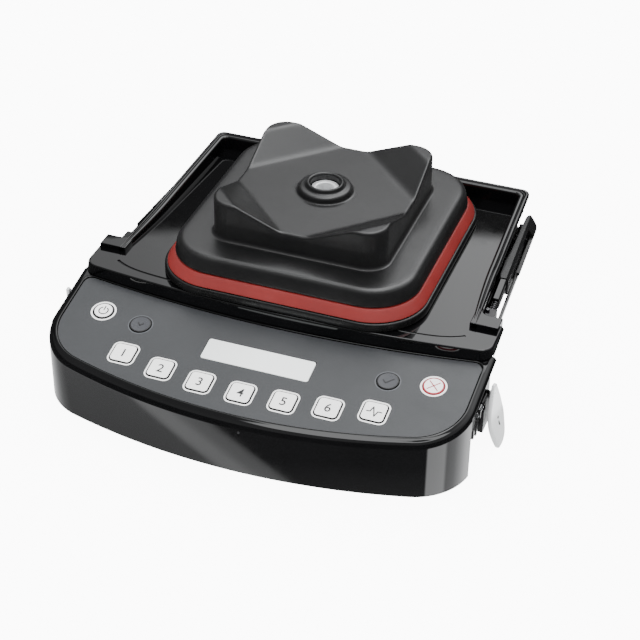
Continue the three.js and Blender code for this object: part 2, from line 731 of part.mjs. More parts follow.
function latchSlider() {
  const inside = [[-6, -10], [-1.1, -10]];
  const crown = [[-2.3, -0.4], [-6, -0.4]];
  const body = polygon([...inside, [-1.1, -1.9], ...crown]);
  const hood = polygon([...inside, [-1.1, -7.7], [1.8, -7.7], [1.8, -5.2], ...crown]);
  const fin = polygon([[0.2, -7.7], [1.8, -7.7], [1.8, -5.9], [0.2, -5.9]]);
  const plan = new THREE.Shape();
  plan.moveTo(-4.8, -23);
  plan.lineTo(4, -23);
  plan.lineTo(4, 30);
  plan.quadraticCurveTo(2.6, 39.5, -2.2, 39.5);
  plan.quadraticCurveTo(-4.3, 39.5, -4.4, 34);
  plan.lineTo(-5.6, -21);
  const whole = join(beam(body, -23, 28), beam(hood, 27.4, 40), beam(fin, -8, 28));
  return alongRail(toGeometry(common(whole, prism(plan, -14, 1, 6))));
}

function latchRod() {
  const section = polygon([[-5.1, -6.4], [-1.7, -6.4], [-1.7, -1.4], [-2.2, -0.8], [-5.1, -0.8]]);
  const bar = beam(section, -41.3, -23.3);
  const pin = axle(PIN_LINE, PIN_LEVEL, -56, -40.8, 1, 14);
  return alongRail(toGeometry(join(bar, pin)));
}

function latchSpring() {
  const wire = coil(1.7, 0.3, 0, 7.8, 4);
  return alongRail(wire.rotateX(-Math.PI / 2).translate(PIN_LINE, -49.4, PIN_LEVEL));
}

function guideBlock() {
  const block = box(-5.9, -0.9, -57.5, -49.7, -7.6, -1.3);
  const foot = box(-5.9, -1.4, -57.5, -49.7, -12, -7);
  const hole = axle(PIN_LINE, PIN_LEVEL, -60, -45, 1.3, 14);
  const thread = cylinder(GUIDE_SCREW_X, -52, -7, 0, 0.6, 12);
  return alongRail(toGeometry(cut(join(block, foot), hole, thread)));
}

function guideScrew() {
  const body = join(cylinder(0, 0, 0, 0.9, 1, 16), cylinder(0, 0, -3.5, 0.1, 0.4, 12));
  const slot = box(-1, 1, -0.2, 0.2, 0.5, 2);
  return alongRail(toGeometry(cut(body, slot)).translate(GUIDE_SCREW_X, -52, -1));
}

// ---------------------------------------------------------------- lever under the panel's end
function leverBracket() {
  const plate = box(PLATE_X, PLATE_X + 1.4, -30.5, 1, -27, 0);
  const fingers = [[-29.6, -31.4], [-23.5, -35.1], [-18.2, -36.9], [-12.5, -38.5]].map(([y, z]) => {
    return box(PLATE_X, PLATE_X + 1.4, y - 0.9, y + 0.9, z, -26);
  });
  const flange = common(box(91, PLATE_X + 1.4, -24, -4, -40, 0), panelSlab(-5.9, -4.3));
  const trimmed = common(join(plate, ...fingers), panelSlab(-90, -4.6));
  const ears = [PIN_FRONT, PIN_BACK].map((y) => {
    return box(PLATE_X, PIN_X + 1.6, y - 0.6, y + 0.6, PIN_Z - 2, PIN_Z + 2);
  });
  const holes = [axle(PIN_X, PIN_Z, -40, 10, 0.9, 16), cylinder(BRACKET_SCREW_X, -14, -30, 0, 1.6, 14)];
  return cut(join(trimmed, flange, ...ears), ...holes);
}

function leverPin() {
  const shaft = axle(PIN_X, PIN_Z, PIN_FRONT - 1.2, PIN_BACK + 1.2, 0.7, 16);
  const heads = [PIN_FRONT - 1.7, PIN_BACK + 0.9].map((y) => axle(PIN_X, PIN_Z, y, y + 0.8, 1.3, 16));
  return join(shaft, ...heads);
}

function leverBody() {
  const barrel = axle(PIN_X, PIN_Z, -18.5, -10.4, 1.3, 20);
  const web = box(PIN_X - 0.9, 108.7, -16, -10.4, -30, PIN_Z);
  const grip = box(PIN_X - 1, 108.7, -18, -4.5, -35, -22);
  return cut(join(barrel, web, grip), axle(PIN_X, PIN_Z, -20, 5, 0.85, 16));
}

// The paddle is a sheet whose lower end curls outwards; its outline is drawn in Y and Z.
function leverPaddle() {
  const points = (list) => list.map(([x, z]) => new THREE.Vector2(x, z));
  const face = [[111.4, -20], [111.2, -28.5], [111.8, -34.4], [113.1, -39], [115.2, -43.4], [116.2, -46.6]];
  const back = [[112.3, -43.9], [110.9, -40.3], [109.7, -36], [109.1, -29], [109.1, -20], [109.9, -10.8]];
  const section = new THREE.Shape();
  section.moveTo(111.6, -10.8);
  section.splineThru(points(face));
  section.lineTo(114.4, -47.6);
  section.splineThru(points(back));
  const outline = new THREE.Shape();
  outline.moveTo(PADDLE_FRONT, -50);
  outline.lineTo(PADDLE_FRONT, -10.8);
  outline.lineTo(-9.5, -10.8);
  outline.splineThru(points([[-4, -19.7], [0.9, -28.6], [2.6, -35], [0.4, -40.3], [-4.4, -44.8], [-9, -47.2]]));
  outline.lineTo(-9, -50);
  const blade = acrossX(outline, 12);
  const stroke = acrossX(roundedRectangle(-5.3, -3.9, -39.4, -36, 0.6), 3);
  const dot = acrossX(circleShape(-4.6, -34.2, 0.8), 5);
  const flat = toGeometry(cut(common(beam(section, PADDLE_FRONT, 4, 4), blade), stroke, dot));
  const shear = new THREE.Matrix4().set(
    1, PADDLE_SHEAR, 0, -PADDLE_SHEAR * PADDLE_FRONT,
    0, 1, 0, 0,
    0, 0, 1, 0,
    0, 0, 0, 1,
  );
  return flat.applyMatrix4(shear);
}

// An outline drawn in Y and Z, as a block that spans the paddle's thickness.
function acrossX(shape, curveSegments) {
  return prism(shape, 100, 130, curveSegments).rotateX(Math.PI / 2).rotateZ(Math.PI / 2);
}

function leverSpring() {
  const wire = coil(1.1, 0.25, 0, 5.4, 4);
  return wire.rotateX(-Math.PI / 2).translate(PIN_X, -24.8, PIN_Z);
}

function bracketScrew() {
  const head = cylinder(BRACKET_SCREW_X, -14, -17.3, -15.4, 2.6, 18);
  return join(head, cylinder(BRACKET_SCREW_X, -14, -15.6, -10.4, 1.2, 12));
}

// ---------------------------------------------------------------- assembly
place(group, 'top_housing', glossBlack, topHousing());
place(group, 'control_housing', glossBlack, controlHousing());
place(panel, 'control_overlay', satinGrey, overlay());
[...squareKeys(), ...roundKeys()].forEach((key) => place(panel, key.name, key.material, keyCap(key)));
place(panel, 'display_window', windowWhite, prism(windowShape(0), -1.4, -0.1, 2));
place(panel, 'display_module', matteBlack, displayModule());
place(panel, 'control_board', boardGreen, controlBoard());
place(panel, 'board_connector', keyWhite, box(38, 54, -32, -26, -15, -9.9));

place(group, 'jar_pad', rubberBlack, jarPad());
place(group, 'red_ring', rubberRed, redRing());
place(group, 'pad_base_ring', rubberBlack, baseRing());
place(group, 'pad_retainer', steel, retainerPlate());
place(group, 'bearing_housing', aluminium, bearingHousing());
place(group, 'drive_bearing', steel, toSolid(driveBearing()));
place(group, 'drive_shaft', steel, driveShaft());
place(group, 'drive_socket', silver, toSolid(driveSocket()));
place(group, 'retaining_ring', steel, toSolid(retainingRing()));
clampPoints().forEach(([x, y], i) => {
  place(group, `pad_screw_${i + 1}`, steel, screw(x, y, -9.3, 2.6, 3.6, 4.8, 1.8));
});
LUGS.forEach((x, i) => {
  place(group, `housing_screw_${i + 1}`, steel, screw(x, LUG_Y, -8.4, 2, 2.8, -1.8, 1.3));
});

placeBoth('latch_slider', matteBlack, latchSlider());
placeBoth('latch_rod', glossBlack, latchRod());
placeBoth('latch_spring', steel, latchSpring());
placeBoth('latch_guide', matteBlack, guideBlock());
placeBoth('guide_screw', steel, guideScrew());
placeBoth('lever_bracket', matteBlack, leverBracket());
placeBoth('lever_pin', steel, leverPin());
placeBoth('lever_body', matteBlack, leverBody());
placeBoth('lever_paddle', silver, leverPaddle());
placeBoth('lever_spring', steel, leverSpring());
placeBoth('bracket_screw', steel, bracketScrew());

export default group;
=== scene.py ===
import math

import bpy
import bmesh
from mathutils import Matrix, Vector

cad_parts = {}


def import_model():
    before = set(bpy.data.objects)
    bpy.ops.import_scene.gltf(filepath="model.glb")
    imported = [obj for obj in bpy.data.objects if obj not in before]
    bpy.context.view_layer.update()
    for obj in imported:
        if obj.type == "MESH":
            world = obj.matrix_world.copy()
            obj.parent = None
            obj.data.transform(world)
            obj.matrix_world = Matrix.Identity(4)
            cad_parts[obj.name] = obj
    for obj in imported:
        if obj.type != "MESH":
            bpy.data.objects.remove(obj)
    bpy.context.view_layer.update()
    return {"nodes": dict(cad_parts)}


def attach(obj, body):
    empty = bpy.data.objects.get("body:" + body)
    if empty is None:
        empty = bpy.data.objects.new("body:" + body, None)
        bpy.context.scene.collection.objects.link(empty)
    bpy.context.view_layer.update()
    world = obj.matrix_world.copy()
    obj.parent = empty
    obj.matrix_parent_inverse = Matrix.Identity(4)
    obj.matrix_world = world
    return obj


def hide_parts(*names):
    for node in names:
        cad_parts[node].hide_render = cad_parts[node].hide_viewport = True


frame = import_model()

# ---------------- dimensions
BASE_Z = -48.5  # what the posts and the front wall stand on
SHIFT = Vector((0, -32.1, -BASE_Z))
TILT = math.radians(10.85)
PANEL_Z = -5.6
PANEL_HALF = 108
PANEL_FRONT = -71.3
FRONT_RADIUS = 320
CORNER_RADIUS = 30
PANEL_BACK = 3
SKIRT_END = -35.5  # where the tall front wall stops on each side
OVERLAY_INSET = 4.6
OVERLAY_BACK = -10.2
KEY_PITCH = 21.2
KEY_ROW = -54.25
KEY_ROW_CURVE = 0.0018
KEY_HALF = 5.7
KEY_TOP = 0.5  # above the panel
WINDOW_HALF = 27.4
WINDOW_FRONT = -38.25
WINDOW_BACK = -25.25
DECK_HALF = 105.8
DECK_FRONT = -8.3
DECK_BOW = 0.00064
DECK_CORNER = 7.5
DECK_UNDER = -3
SKIRT_BACK = 21
EAR_FRONT = 15
EAR_BACK = 24
EAR_TOP = 2.5
EAR_HALF = 104.7
RIM_REAR = 135.5
RIM_SLOPE = 0.0447
RIM_STRAIGHT = 66  # where the rim's sides turn straight
RIM_WIDTH = 5.5
PAD_Y = 61.1
PLATEAU = 30.3
PRONG_TOP = 39.6
PRONG_FOOT = 36.6
PRONG_HEAD = 53
BLOCK_HALF = 45.2
BLOCK_CORNER = 11
FLANGE_TOP = 18.9
FLANGE_BOTTOM = 10.2
BOSS_EDGE = 15.3
BAND_BORE = 34
RAIL_X = 97.2
RAIL_Y = 85
RAIL_TURN = math.radians(3.15)
PIN_X = 107.35
PIN_Z = -18
PADDLE_TOP = -10.8
PADDLE_LOW = -46.9
PADDLE_FRONT = -12
PADDLE_SHEAR = 0.12


def row(point):
    """From drawing millimetres to the part's frame."""
    return (Vector(point) + SHIFT) * 0.001


def add_object(name, data):
    thing = bpy.data.objects.new(name, data)
    bpy.context.scene.collection.objects.link(thing)
    return thing


def lerp(a, b, t):
    return a + (b - a) * t


def panel_z(y, n=0.0):
    """Height of the panel plane at y, raised by n along its normal."""
    return PANEL_Z + y * math.tan(TILT) + n / math.cos(TILT)


# ---------------- plane curves
def arc(cx, cy, r, start, end, count, last=True):
    steps = count if last else count + 1
    return [
        (cx + r * math.cos(lerp(start, end, i / (steps - 1))),
         cy + r * math.sin(lerp(start, end, i / (steps - 1))))
        for i in range(count)
    ]


def line(a, b, count, last=False):
    steps = count if last else count + 1
    return [(lerp(a[0], b[0], i / (steps - 1)), lerp(a[1], b[1], i / (steps - 1))) for i in range(count)]


def bow(a, c, b, count, last=False):
    """A curve from a to b that heads for c at both ends."""
    out = []
    steps = count if last else count + 1
    for i in range(count):
        t = i / (steps - 1)
        out.append(tuple((1 - t) ** 2 * a[k] + 2 * t * (1 - t) * c[k] + t * t * b[k] for k in (0, 1)))
    return out


def spline(points, count):
    """A smooth curve through the points."""
    out = []
    n = len(points)
    for i in range(count):
        u = i / (count - 1) * (n - 1)
        k = min(int(u), n - 2)
        t = u - k
        p0, p1, p2, p3 = (points[max(0, min(n - 1, k + d))] for d in (-1, 0, 1, 2))
        out.append(
            tuple(
                0.5 * (2 * p1[c] + (p2[c] - p0[c]) * t + (2 * p0[c] - 5 * p1[c] + 4 * p2[c] - p3[c]) * t * t
                       + (3 * p1[c] - p0[c] - 3 * p2[c] + p3[c]) * t ** 3)
                for c in (0, 1)
            )
        )
    return out


def area2(points):
    return sum(a[0] * b[1] - b[0] * a[1] for a, b in zip(points, points[1:] + points[:1]))


def inset(points, d):
    """The outline moved inwards by d, with the same number of points."""
    if d == 0:
        return list(points)
    sign = 1 if area2(points) > 0 else -1
    out = []
    n = len(points)
    for i in range(n):
        p, a, b = Vector(points[i]), Vector(points[i - 1]), Vector(points[(i + 1) % n])
        e1, e2 = (p - a), (b - p)
        if e1.length < 1e-9 or e2.length < 1e-9:
            out.append(tuple(p))
            continue
        n1 = Vector((-e1.y, e1.x)).normalized() * sign
        n2 = Vector((-e2.y, e2.x)).normalized() * sign
        m = n1 + n2
        if m.length < 1e-6:
            m = n1
        m.normalize()
        out.append(tuple(p + m * (d / max(0.35, m.dot(n1)))))
    return out


def rounded(x0, x1, y0, y1, r, count=8):
    return (
        arc(x1 - r, y0 + r, r, -math.pi / 2, 0, count)
        + arc(x1 - r, y1 - r, r, 0, math.pi / 2, count)
        + arc(x0 + r, y1 - r, r, math.pi / 2, math.pi, count)
        + arc(x0 + r, y0 + r, r, math.pi, 1.5 * math.pi, count)
    )


def circle(x, y, r, count=48):
    return [(x + r * math.cos(2 * math.pi * i / count), y + r * math.sin(2 * math.pi * i / count))
            for i in range(count)]


# ---------------- shells
class Shell:
    """Vertices and faces of one piece, in drawing millimetres."""

    def __init__(self):
        self.verts = []
        self.faces = []

    def ring(self, points):
        start = len(self.verts)
        self.verts.extend(tuple(p) for p in points)
        return list(range(start, len(self.verts)))

    def loft(self, rings, caps=(True, True), wrap=False):
        made = [self.ring(r) for r in rings]
        pairs = list(zip(made, made[1:]))
        if wrap:
            pairs.append((made[-1], made[0]))
        for a, b in pairs:
            n = len(a)
            for i in range(n):
                j = (i + 1) % n
                self.faces.append((a[i], a[j], b[j], b[i]))
        if caps[0]:
            self.faces.append(tuple(reversed(made[0])))
        if caps[1]:
            self.faces.append(tuple(made[-1]))
        return self

    def slab(self, outline, z0, z1, top=0.4, bottom=0.2, steps=4):
        """An upright prism with rounded top and bottom edges."""
        rings = []
        for r, z, s in ((bottom, z0, 1), (top, z1, -1)):
            arcs = []
            if r > 0:
                for i in range(steps + 1):
                    t = math.pi / 2 * i / steps
                    arcs.append((r * (1 - math.sin(t)), z + s * r * (1 - math.cos(t))))
            else:
                arcs.append((0, z))
            if s < 0:
                arcs.reverse()
            rings.extend([[(x, y, h) for x, y in inset(outline, d)] for d, h in arcs])
        return self.loft(rings)

    def lathe(self, profile, x, y, count=64):
        """A closed profile of radius and height turned about an upright line."""
        rings = []
        for k in range(count):
            a = 2 * math.pi * k / count
            rings.append([(x + r * math.cos(a), y + r * math.sin(a), z) for r, z in profile])
        return self.loft(rings, caps=(False, False), wrap=True)

    def tube(self, path, radius, sides=10):
        """A round wire along a path of points, with closed ends."""
        points = [Vector(p) for p in path]
        rings = []
        side = None
        for i, p in enumerate(points):
            along = (points[min(i + 1, len(points) - 1)] - points[max(i - 1, 0)]).normalized()
            if side is None:
                side = along.orthogonal().normalized()
            side = (side - along * side.dot(along)).normalized()
            up = along.cross(side)
            turns = [2 * math.pi * k / sides for k in range(sides)]
            rings.append([p + (side * math.cos(a) + up * math.sin(a)) * radius for a in turns])
        return self.loft(rings)

    def turn(self, matrix, start=0):
        for i in range(start, len(self.verts)):
            self.verts[i] = tuple(matrix @ Vector(self.verts[i]))
        return self


def on_panel():
    return Matrix.Translation((0, 0, PANEL_Z)) @ Matrix.Rotation(TILT, 4, "X")


def on_rail(side):
    flip = Matrix.Diagonal((side, 1, 1, 1))
    return flip @ Matrix.Translation((RAIL_X, RAIL_Y, 0)) @ Matrix.Rotation(RAIL_TURN, 4, "Z")


def finish_mesh(mesh, angle):
    work = bmesh.new()
    work.from_mesh(mesh)
    bmesh.ops.remove_doubles(work, verts=work.verts, dist=1e-7)
    bmesh.ops.recalc_face_normals(work, faces=work.faces)
    work.to_mesh(mesh)
    work.free()
    mesh.shade_smooth()
    mesh.set_sharp_from_angle(angle=math.radians(angle))


def piece(name, shell, body, material, nodes=(), angle=32, weighted=True):
    mesh = bpy.data.meshes.new(name)
    mesh.from_pydata([row(v) for v in shell.verts], [], shell.faces)
    mesh.validate()
    finish_mesh(mesh, angle)
    return settle(name, mesh, body, material, nodes, 0.0, weighted)


def settle(name, mesh, body, material, nodes, bevel=0.0, weighted=True):
    thing = add_object(name, mesh)
    mesh.materials.clear()
    mesh.materials.append(material)
    if bevel:
        cut = thing.modifiers.new("edges", "BEVEL")
        cut.width = bevel * 0.001
        cut.segments = 3
        cut.limit_method = "ANGLE"
        cut.angle_limit = math.radians(30)
    if weighted:
        thing.modifiers.new("normals", "WEIGHTED_NORMAL").keep_sharp = True
    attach(thing, body)
    if nodes:
        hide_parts(*nodes)
    return thing


def from_node(node, body, material, bevel=0.25):
    """A copy of a CAD node's shape with its edges rounded."""
    mesh = frame["nodes"][node].data.copy()
    mesh.name = "fine_" + node
    for name in [a.name for a in mesh.attributes if a.name == "custom_normal"]:
        mesh.attributes.remove(mesh.attributes[name])
    work = bmesh.new()
    work.from_mesh(mesh)
    bmesh.ops.remove_doubles(work, verts=work.verts, dist=2e-6)
    bmesh.ops.dissolve_limit(work, angle_limit=math.radians(1.0), verts=work.verts, edges=work.edges)
    work.to_mesh(mesh)
    work.free()
    finish_mesh(mesh, 32)
    return settle("fine_" + node, mesh, body, material, (node,), bevel)


# ---------------- materials
def new_material(name):
    material = bpy.data.materials.new(name)
    material.use_nodes = True
    tree = material.node_tree
    return material, tree, tree.nodes["Principled BSDF"]


def noise(tree, scale, detail=4.0, rough=0.55):
    place = tree.nodes.new("ShaderNodeTexCoord")
    made = tree.nodes.new("ShaderNodeTexNoise")
    made.inputs["Scale"].default_value = scale
    made.inputs["Detail"].default_value = detail
    made.inputs["Roughness"].default_value = rough
    tree.links.new(place.outputs["Object"], made.inputs["Vector"])
    return made.outputs["Fac"]


def ramp(tree, value, low, high, a, b):
    made = tree.nodes.new("ShaderNodeValToRGB")
    made.color_ramp.elements[0].position = low
    made.color_ramp.elements[1].position = high
    made.color_ramp.elements[0].color = (*a, 1)
    made.color_ramp.elements[1].color = (*b, 1)
    tree.links.new(value, made.inputs["Fac"])
    return made.outputs["Color"]


def span(tree, value, low, high, a, b):
    made = tree.nodes.new("ShaderNodeMapRange")
    for key, number in (("From Min", low), ("From Max", high), ("To Min", a), ("To Max", b)):
        made.inputs[key].default_value = number
    tree.links.new(value, made.inputs["Value"])
    return made.outputs["Result"]


def bump(tree, shader, value, strength, distance):
    made = tree.nodes.new("ShaderNodeBump")
    made.inputs["Strength"].default_value = strength
    made.inputs["Distance"].default_value = distance
    tree.links.new(value, made.inputs["Height"])
    tree.links.new(made.outputs["Normal"], shader.inputs["Normal"])


def surface(name, dark, light, rough, grain, bump_strength, bump_size, scale, metal=0.0, level=0.5,
            painted_glow=0.0):
    """Colour mottled between two tones, roughness varied by wear marks, a fine surface grain, and where given
    a painted glow: light the surface gives off though it is no lamp.
    """
    material, tree, shader = new_material(name)
    broad = noise(tree, 38.0, 5.0, 0.6)
    tree.links.new(ramp(tree, broad, 0.35, 0.7, dark, light), shader.inputs["Base Color"])
    wear = noise(tree, 130.0, 6.0, 0.7)
    tree.links.new(span(tree, wear, 0.35, 0.7, rough - grain, rough + grain), shader.inputs["Roughness"])
    bump(tree, shader, noise(tree, scale, 3.0, 0.6), bump_strength, bump_size)
    shader.inputs["Metallic"].default_value = metal
    shader.inputs["Specular IOR Level"].default_value = level
    # painted light: emission that brightens the surface though it is no lamp
    if painted_glow:
        shader.inputs["Emission Color"].default_value = (1, 1, 0.99, 1)
        shader.inputs["Emission Strength"].default_value = painted_glow
    return material


# Name, dark and light tone, roughness and its spread, grain's strength, depth and scale, metal, level,
# painted glow.
INK = (0.05, 0.05, 0.00002, 1500.0)
FINISHES = {
    "gloss": ("gloss_black", (0.0015, 0.0015, 0.0017), (0.0025, 0.0025, 0.0028), 0.03, 0.012, 0.02, 0.00002,
              60.0),
    "overlay": ("overlay_grey", (0.03, 0.032, 0.0345), (0.036, 0.038, 0.041), 0.36, 0.05, 0.12, 0.00003,
                1800.0),
    # key_white: a painted glow of 0.8 whitens the key caps though they are no lamp
    "key_white": ("key_white", (0.84, 0.84, 0.83), (0.9, 0.9, 0.89), 0.38, 0.06, 0.06, 0.00003, 1500.0, 0.0,
                  0.5, 0.8),
    "key_grey": ("key_grey", (0.038, 0.04, 0.046), (0.046, 0.048, 0.055), 0.3, 0.05, 0.08, 0.00003, 1500.0),
    "pad": ("pad_rubber", (0.005, 0.005, 0.0052), (0.008, 0.008, 0.0082), 0.33, 0.04, 0.3, 0.00005, 1300.0,
            0.0, 0.7),
    "pad_dark": ("ring_rubber", (0.003, 0.003, 0.003), (0.005, 0.005, 0.005), 0.3, 0.05, 0.2, 0.00005,
                 1300.0),
    "red": ("red_rubber", (0.2, 0.014, 0.012), (0.24, 0.02, 0.017), 0.42, 0.06, 0.25, 0.00005, 1200.0),
    "black": ("matte_black", (0.003, 0.003, 0.0033), (0.005, 0.005, 0.0055), 0.26, 0.06, 0.25, 0.00005,
              1100.0),
    "steel": ("plated_steel", (0.5, 0.51, 0.52), (0.62, 0.63, 0.64), 0.22, 0.08, 0.1, 0.00003, 1600.0, 1.0),
    "socket": ("polished_steel", (0.85, 0.86, 0.86), (0.92, 0.92, 0.93), 0.16, 0.05, 0.08, 0.00002, 900.0,
               0.4),
    "spring": ("spring_steel", (0.12, 0.12, 0.125), (0.2, 0.2, 0.205), 0.26, 0.06, 0.1, 0.00003, 1500.0,
               1.0),
    "cast": ("cast_aluminium", (0.34, 0.345, 0.35), (0.42, 0.425, 0.43), 0.45, 0.08, 0.5, 0.00012, 700.0,
             1.0),
    "silver": ("silver_paint", (0.84, 0.85, 0.85), (0.9, 0.91, 0.91), 0.32, 0.06, 0.1, 0.00003, 2200.0,
               0.2),
    "board": ("board_green", (0.012, 0.075, 0.03), (0.02, 0.11, 0.045), 0.4, 0.1, 0.3, 0.00008, 260.0),
    # print_white: a painted glow of 0.8 whitens the printed borders though they are no lamp
    "print_white": ("print_white", (0.82, 0.82, 0.81), (0.88, 0.88, 0.87), 0.42, *INK, 0.0, 0.5, 0.8),
    "print_grey": ("print_grey", (0.014, 0.0145, 0.015), (0.02, 0.021, 0.022), 0.42, *INK),
    "print_dark": ("print_dark", (0.006, 0.006, 0.0065), (0.009, 0.009, 0.0095), 0.4, *INK),
    "print_red": ("print_red", (0.42, 0.035, 0.05), (0.46, 0.045, 0.06), 0.42, *INK),
    "print_mid": ("print_mid", (0.08, 0.085, 0.095), (0.09, 0.096, 0.105), 0.34, *INK),
}
M = {key: surface(*finish) for key, finish in FINISHES.items()}


def display_material():
    """A pale display behind a clear window: faint diagonal wave lines that fade towards the right, and a
    painted glow that brightens its face.
    """
    material, tree, shader = new_material("display_clear")
    place = tree.nodes.new("ShaderNodeTexCoord")
    turn = tree.nodes.new("ShaderNodeMapping")
    turn.inputs["Rotation"].default_value = (0, 0, math.radians(52))
    wave = tree.nodes.new("ShaderNodeTexWave")
    wave.inputs["Scale"].default_value = 290.0
    wave.inputs["Distortion"].default_value = 3.0
    wave.inputs["Detail"].default_value = 2.0
    wave.inputs["Detail Scale"].default_value = 0.6
    tree.links.new(place.outputs["Object"], turn.inputs["Vector"])
    tree.links.new(turn.outputs["Vector"], wave.inputs["Vector"])
    split = tree.nodes.new("ShaderNodeSeparateXYZ")
    tree.links.new(place.outputs["Object"], split.inputs["Vector"])
    fade = span(tree, split.outputs["X"], -0.027, 0.002, 1.0, 0.12)
    strength = tree.nodes.new("ShaderNodeMath")
    strength.operation = "MULTIPLY"
    tree.links.new(wave.outputs["Fac"], strength.inputs[0])
    tree.links.new(fade, strength.inputs[1])
    tree.links.new(ramp(tree, strength.outputs[0], 0.1, 0.95, (0.86, 0.89, 0.88), (0.55, 0.58, 0.58)),
                   shader.inputs["Base Color"])
    tree.links.new(span(tree, noise(tree, 200.0), 0.3, 0.7, 0.16, 0.26), shader.inputs["Roughness"])
    bump(tree, shader, noise(tree, 420.0, 3.0), 0.15, 0.00005)
    shader.inputs["Coat Weight"].default_value = 0.6
    shader.inputs["Coat Roughness"].default_value = 0.04
    # painted light: the display gives off light so its face looks paler, with no lamp behind it
    shader.inputs["Emission Color"].default_value = (0.97, 1, 0.99, 1)
    shader.inputs["Emission Strength"].default_value = 0.8
    return material


M["display"] = display_material()


# ---------------- deck and rim
def deck_front(d=0.0):
    """The deck's edge from the right skirt round the front to the left skirt, moved inwards by d."""
    half = DECK_HALF - d
    x = half - DECK_CORNER
    y = DECK_FRONT + d + DECK_BOW * x * x
    low = DECK_FRONT + d - DECK_BOW * x * x
    return (
        line((half, SKIRT_BACK), (half, y + DECK_CORNER), 8)
        + bow((half, y + DECK_CORNER), (half, y + 0.6), (x, y), 14)
        + bow((x, y), (0, low), (-x, y), 60)
        + bow((-x, y), (-half, y + 0.6), (-half, y + DECK_CORNER), 14)
        + line((-half, y + DECK_CORNER), (-half, SKIRT_BACK), 9, True)
    )


RIM_COUNT = (10, 10, 10, 40, 10, 10, 11)


def rim_line(front_x, mid_x, rear_x, rear_y, r):
    """Up the right side, across the back and down the left side."""
    middle = RIM_STRAIGHT
    counts = iter(RIM_COUNT)
    return (
        bow((front_x, EAR_FRONT), (mid_x + 0.4, 48), (mid_x, middle), next(counts))
        + line((mid_x, middle), (rear_x, rear_y - r), next(counts))
        + arc(rear_x - r, rear_y - r, r, 0, math.pi / 2, next(counts), False)
        + line((rear_x - r, rear_y), (-rear_x + r, rear_y), next(counts))
        + arc(-rear_x + r, rear_y - r, r, math.pi / 2, math.pi, next(counts), False)
        + line((-rear_x, rear_y - r), (-mid_x, middle), next(counts))
        + bow((-mid_x, middle), (-mid_x - 0.4, 48), (-front_x, EAR_FRONT), next(counts), True)
    )


def rim_top(y):
    return EAR_TOP + RIM_SLOPE * (y - EAR_FRONT)


def add_deck(shell):
    middle = [p for p in rim_line(92.8, 89.2, 87.0, 132.7, 3.2) if p[1] > SKIRT_BACK]
    behind = SKIRT_BACK + 0.01

    def ring(d, height):
        front = [(x, y, height(x, y)) for x, y in deck_front(d)]
        rear = [(x, y, height(x, y)) for x, y in reversed(middle)]
        return front + rear

    def skirt(x, y):
        if y > behind:
            return -2.9
        low = -1.4 + 0.26 * (y - SKIRT_BACK)
        return min(-1.15, max(low, panel_z(y, 0.75)) if y < 3.4 else low)

    def under(x, y):
        return DECK_UNDER if y > behind else min(-1.12, max(DECK_UNDER, skirt(x, y) + 0.3))

    r = 1.0
    rings = []
    for i in range(6):
        t = math.pi / 2 * i / 5
        drop = -r * (1 - math.cos(t))
        rings.append(ring(r * (1 - math.sin(t)), lambda x, y, h=drop: h))
    rings.append(ring(-0.2, lambda x, y: lerp(-1.0, skirt(x, y), 0.5)))
    rings.append(ring(-0.5, skirt))
    rings.append(ring(2.0, lambda x, y: skirt(x, y) - 0.01 if y > behind else skirt(x, y)))
    rings.append(ring(2.5, under))
    shell.loft(rings)


# How far in from the rim's outer edge and how far below its top, for a rim 5.5 wide: an outer ridge, a groove
# and a rounded inner ledge.
RIM_SECTION = ((0.0, 1.3), (0.08, 0.8), (0.3, 0.4), (0.7, 0.1), (1.2, 0.0), (1.6, 0.06), (1.9, 0.3),
               (2.1, 0.62),
               (2.35, 0.72), (2.6, 0.6), (2.85, 0.34), (3.3, 0.16), (3.9, 0.12), (4.5, 0.2), (5.0, 0.45),
               (5.3, 0.8),
               (5.45, 1.3), (5.5, 2.0))


def add_rim(shell):
    outer = rim_line(94.2, 91.9, 89.3, RIM_REAR, 4)
    inner = rim_line(91.6, 86.9, 84.4, RIM_REAR - RIM_WIDTH, 3)
    sections = []
    for o, i in zip(outer, inner):
        ov, iv = Vector(o), Vector(i)
        across = (iv - ov).normalized()
        width = (iv - ov).length

        def at(move, z):
            p = ov + across * move
            return (p.x, p.y, z)

        top = rim_top(o[1])
        neck = lerp(1.5, 2.6, max(0.0, min(1.0, (o[1] - EAR_FRONT) / 40)))
        low = -8.5 if o[1] < 114 else DECK_UNDER
        section = [at(width + 0.6, -1.2), at(width, 0.2)]
        section += [at(t * width / RIM_WIDTH, top - drop) for t, drop in reversed(RIM_SECTION)]
        section += [at(0.03, top - 2.2), at(0.25, top - 2.5), at(neck, top - 2.6)]
        section += [at(neck, low), at(neck + 0.8, low)]
        sections.append(section)
    shell.loft(sections)


def mirror_points(points, side):
    return [(side * x, y) for x, y in points]


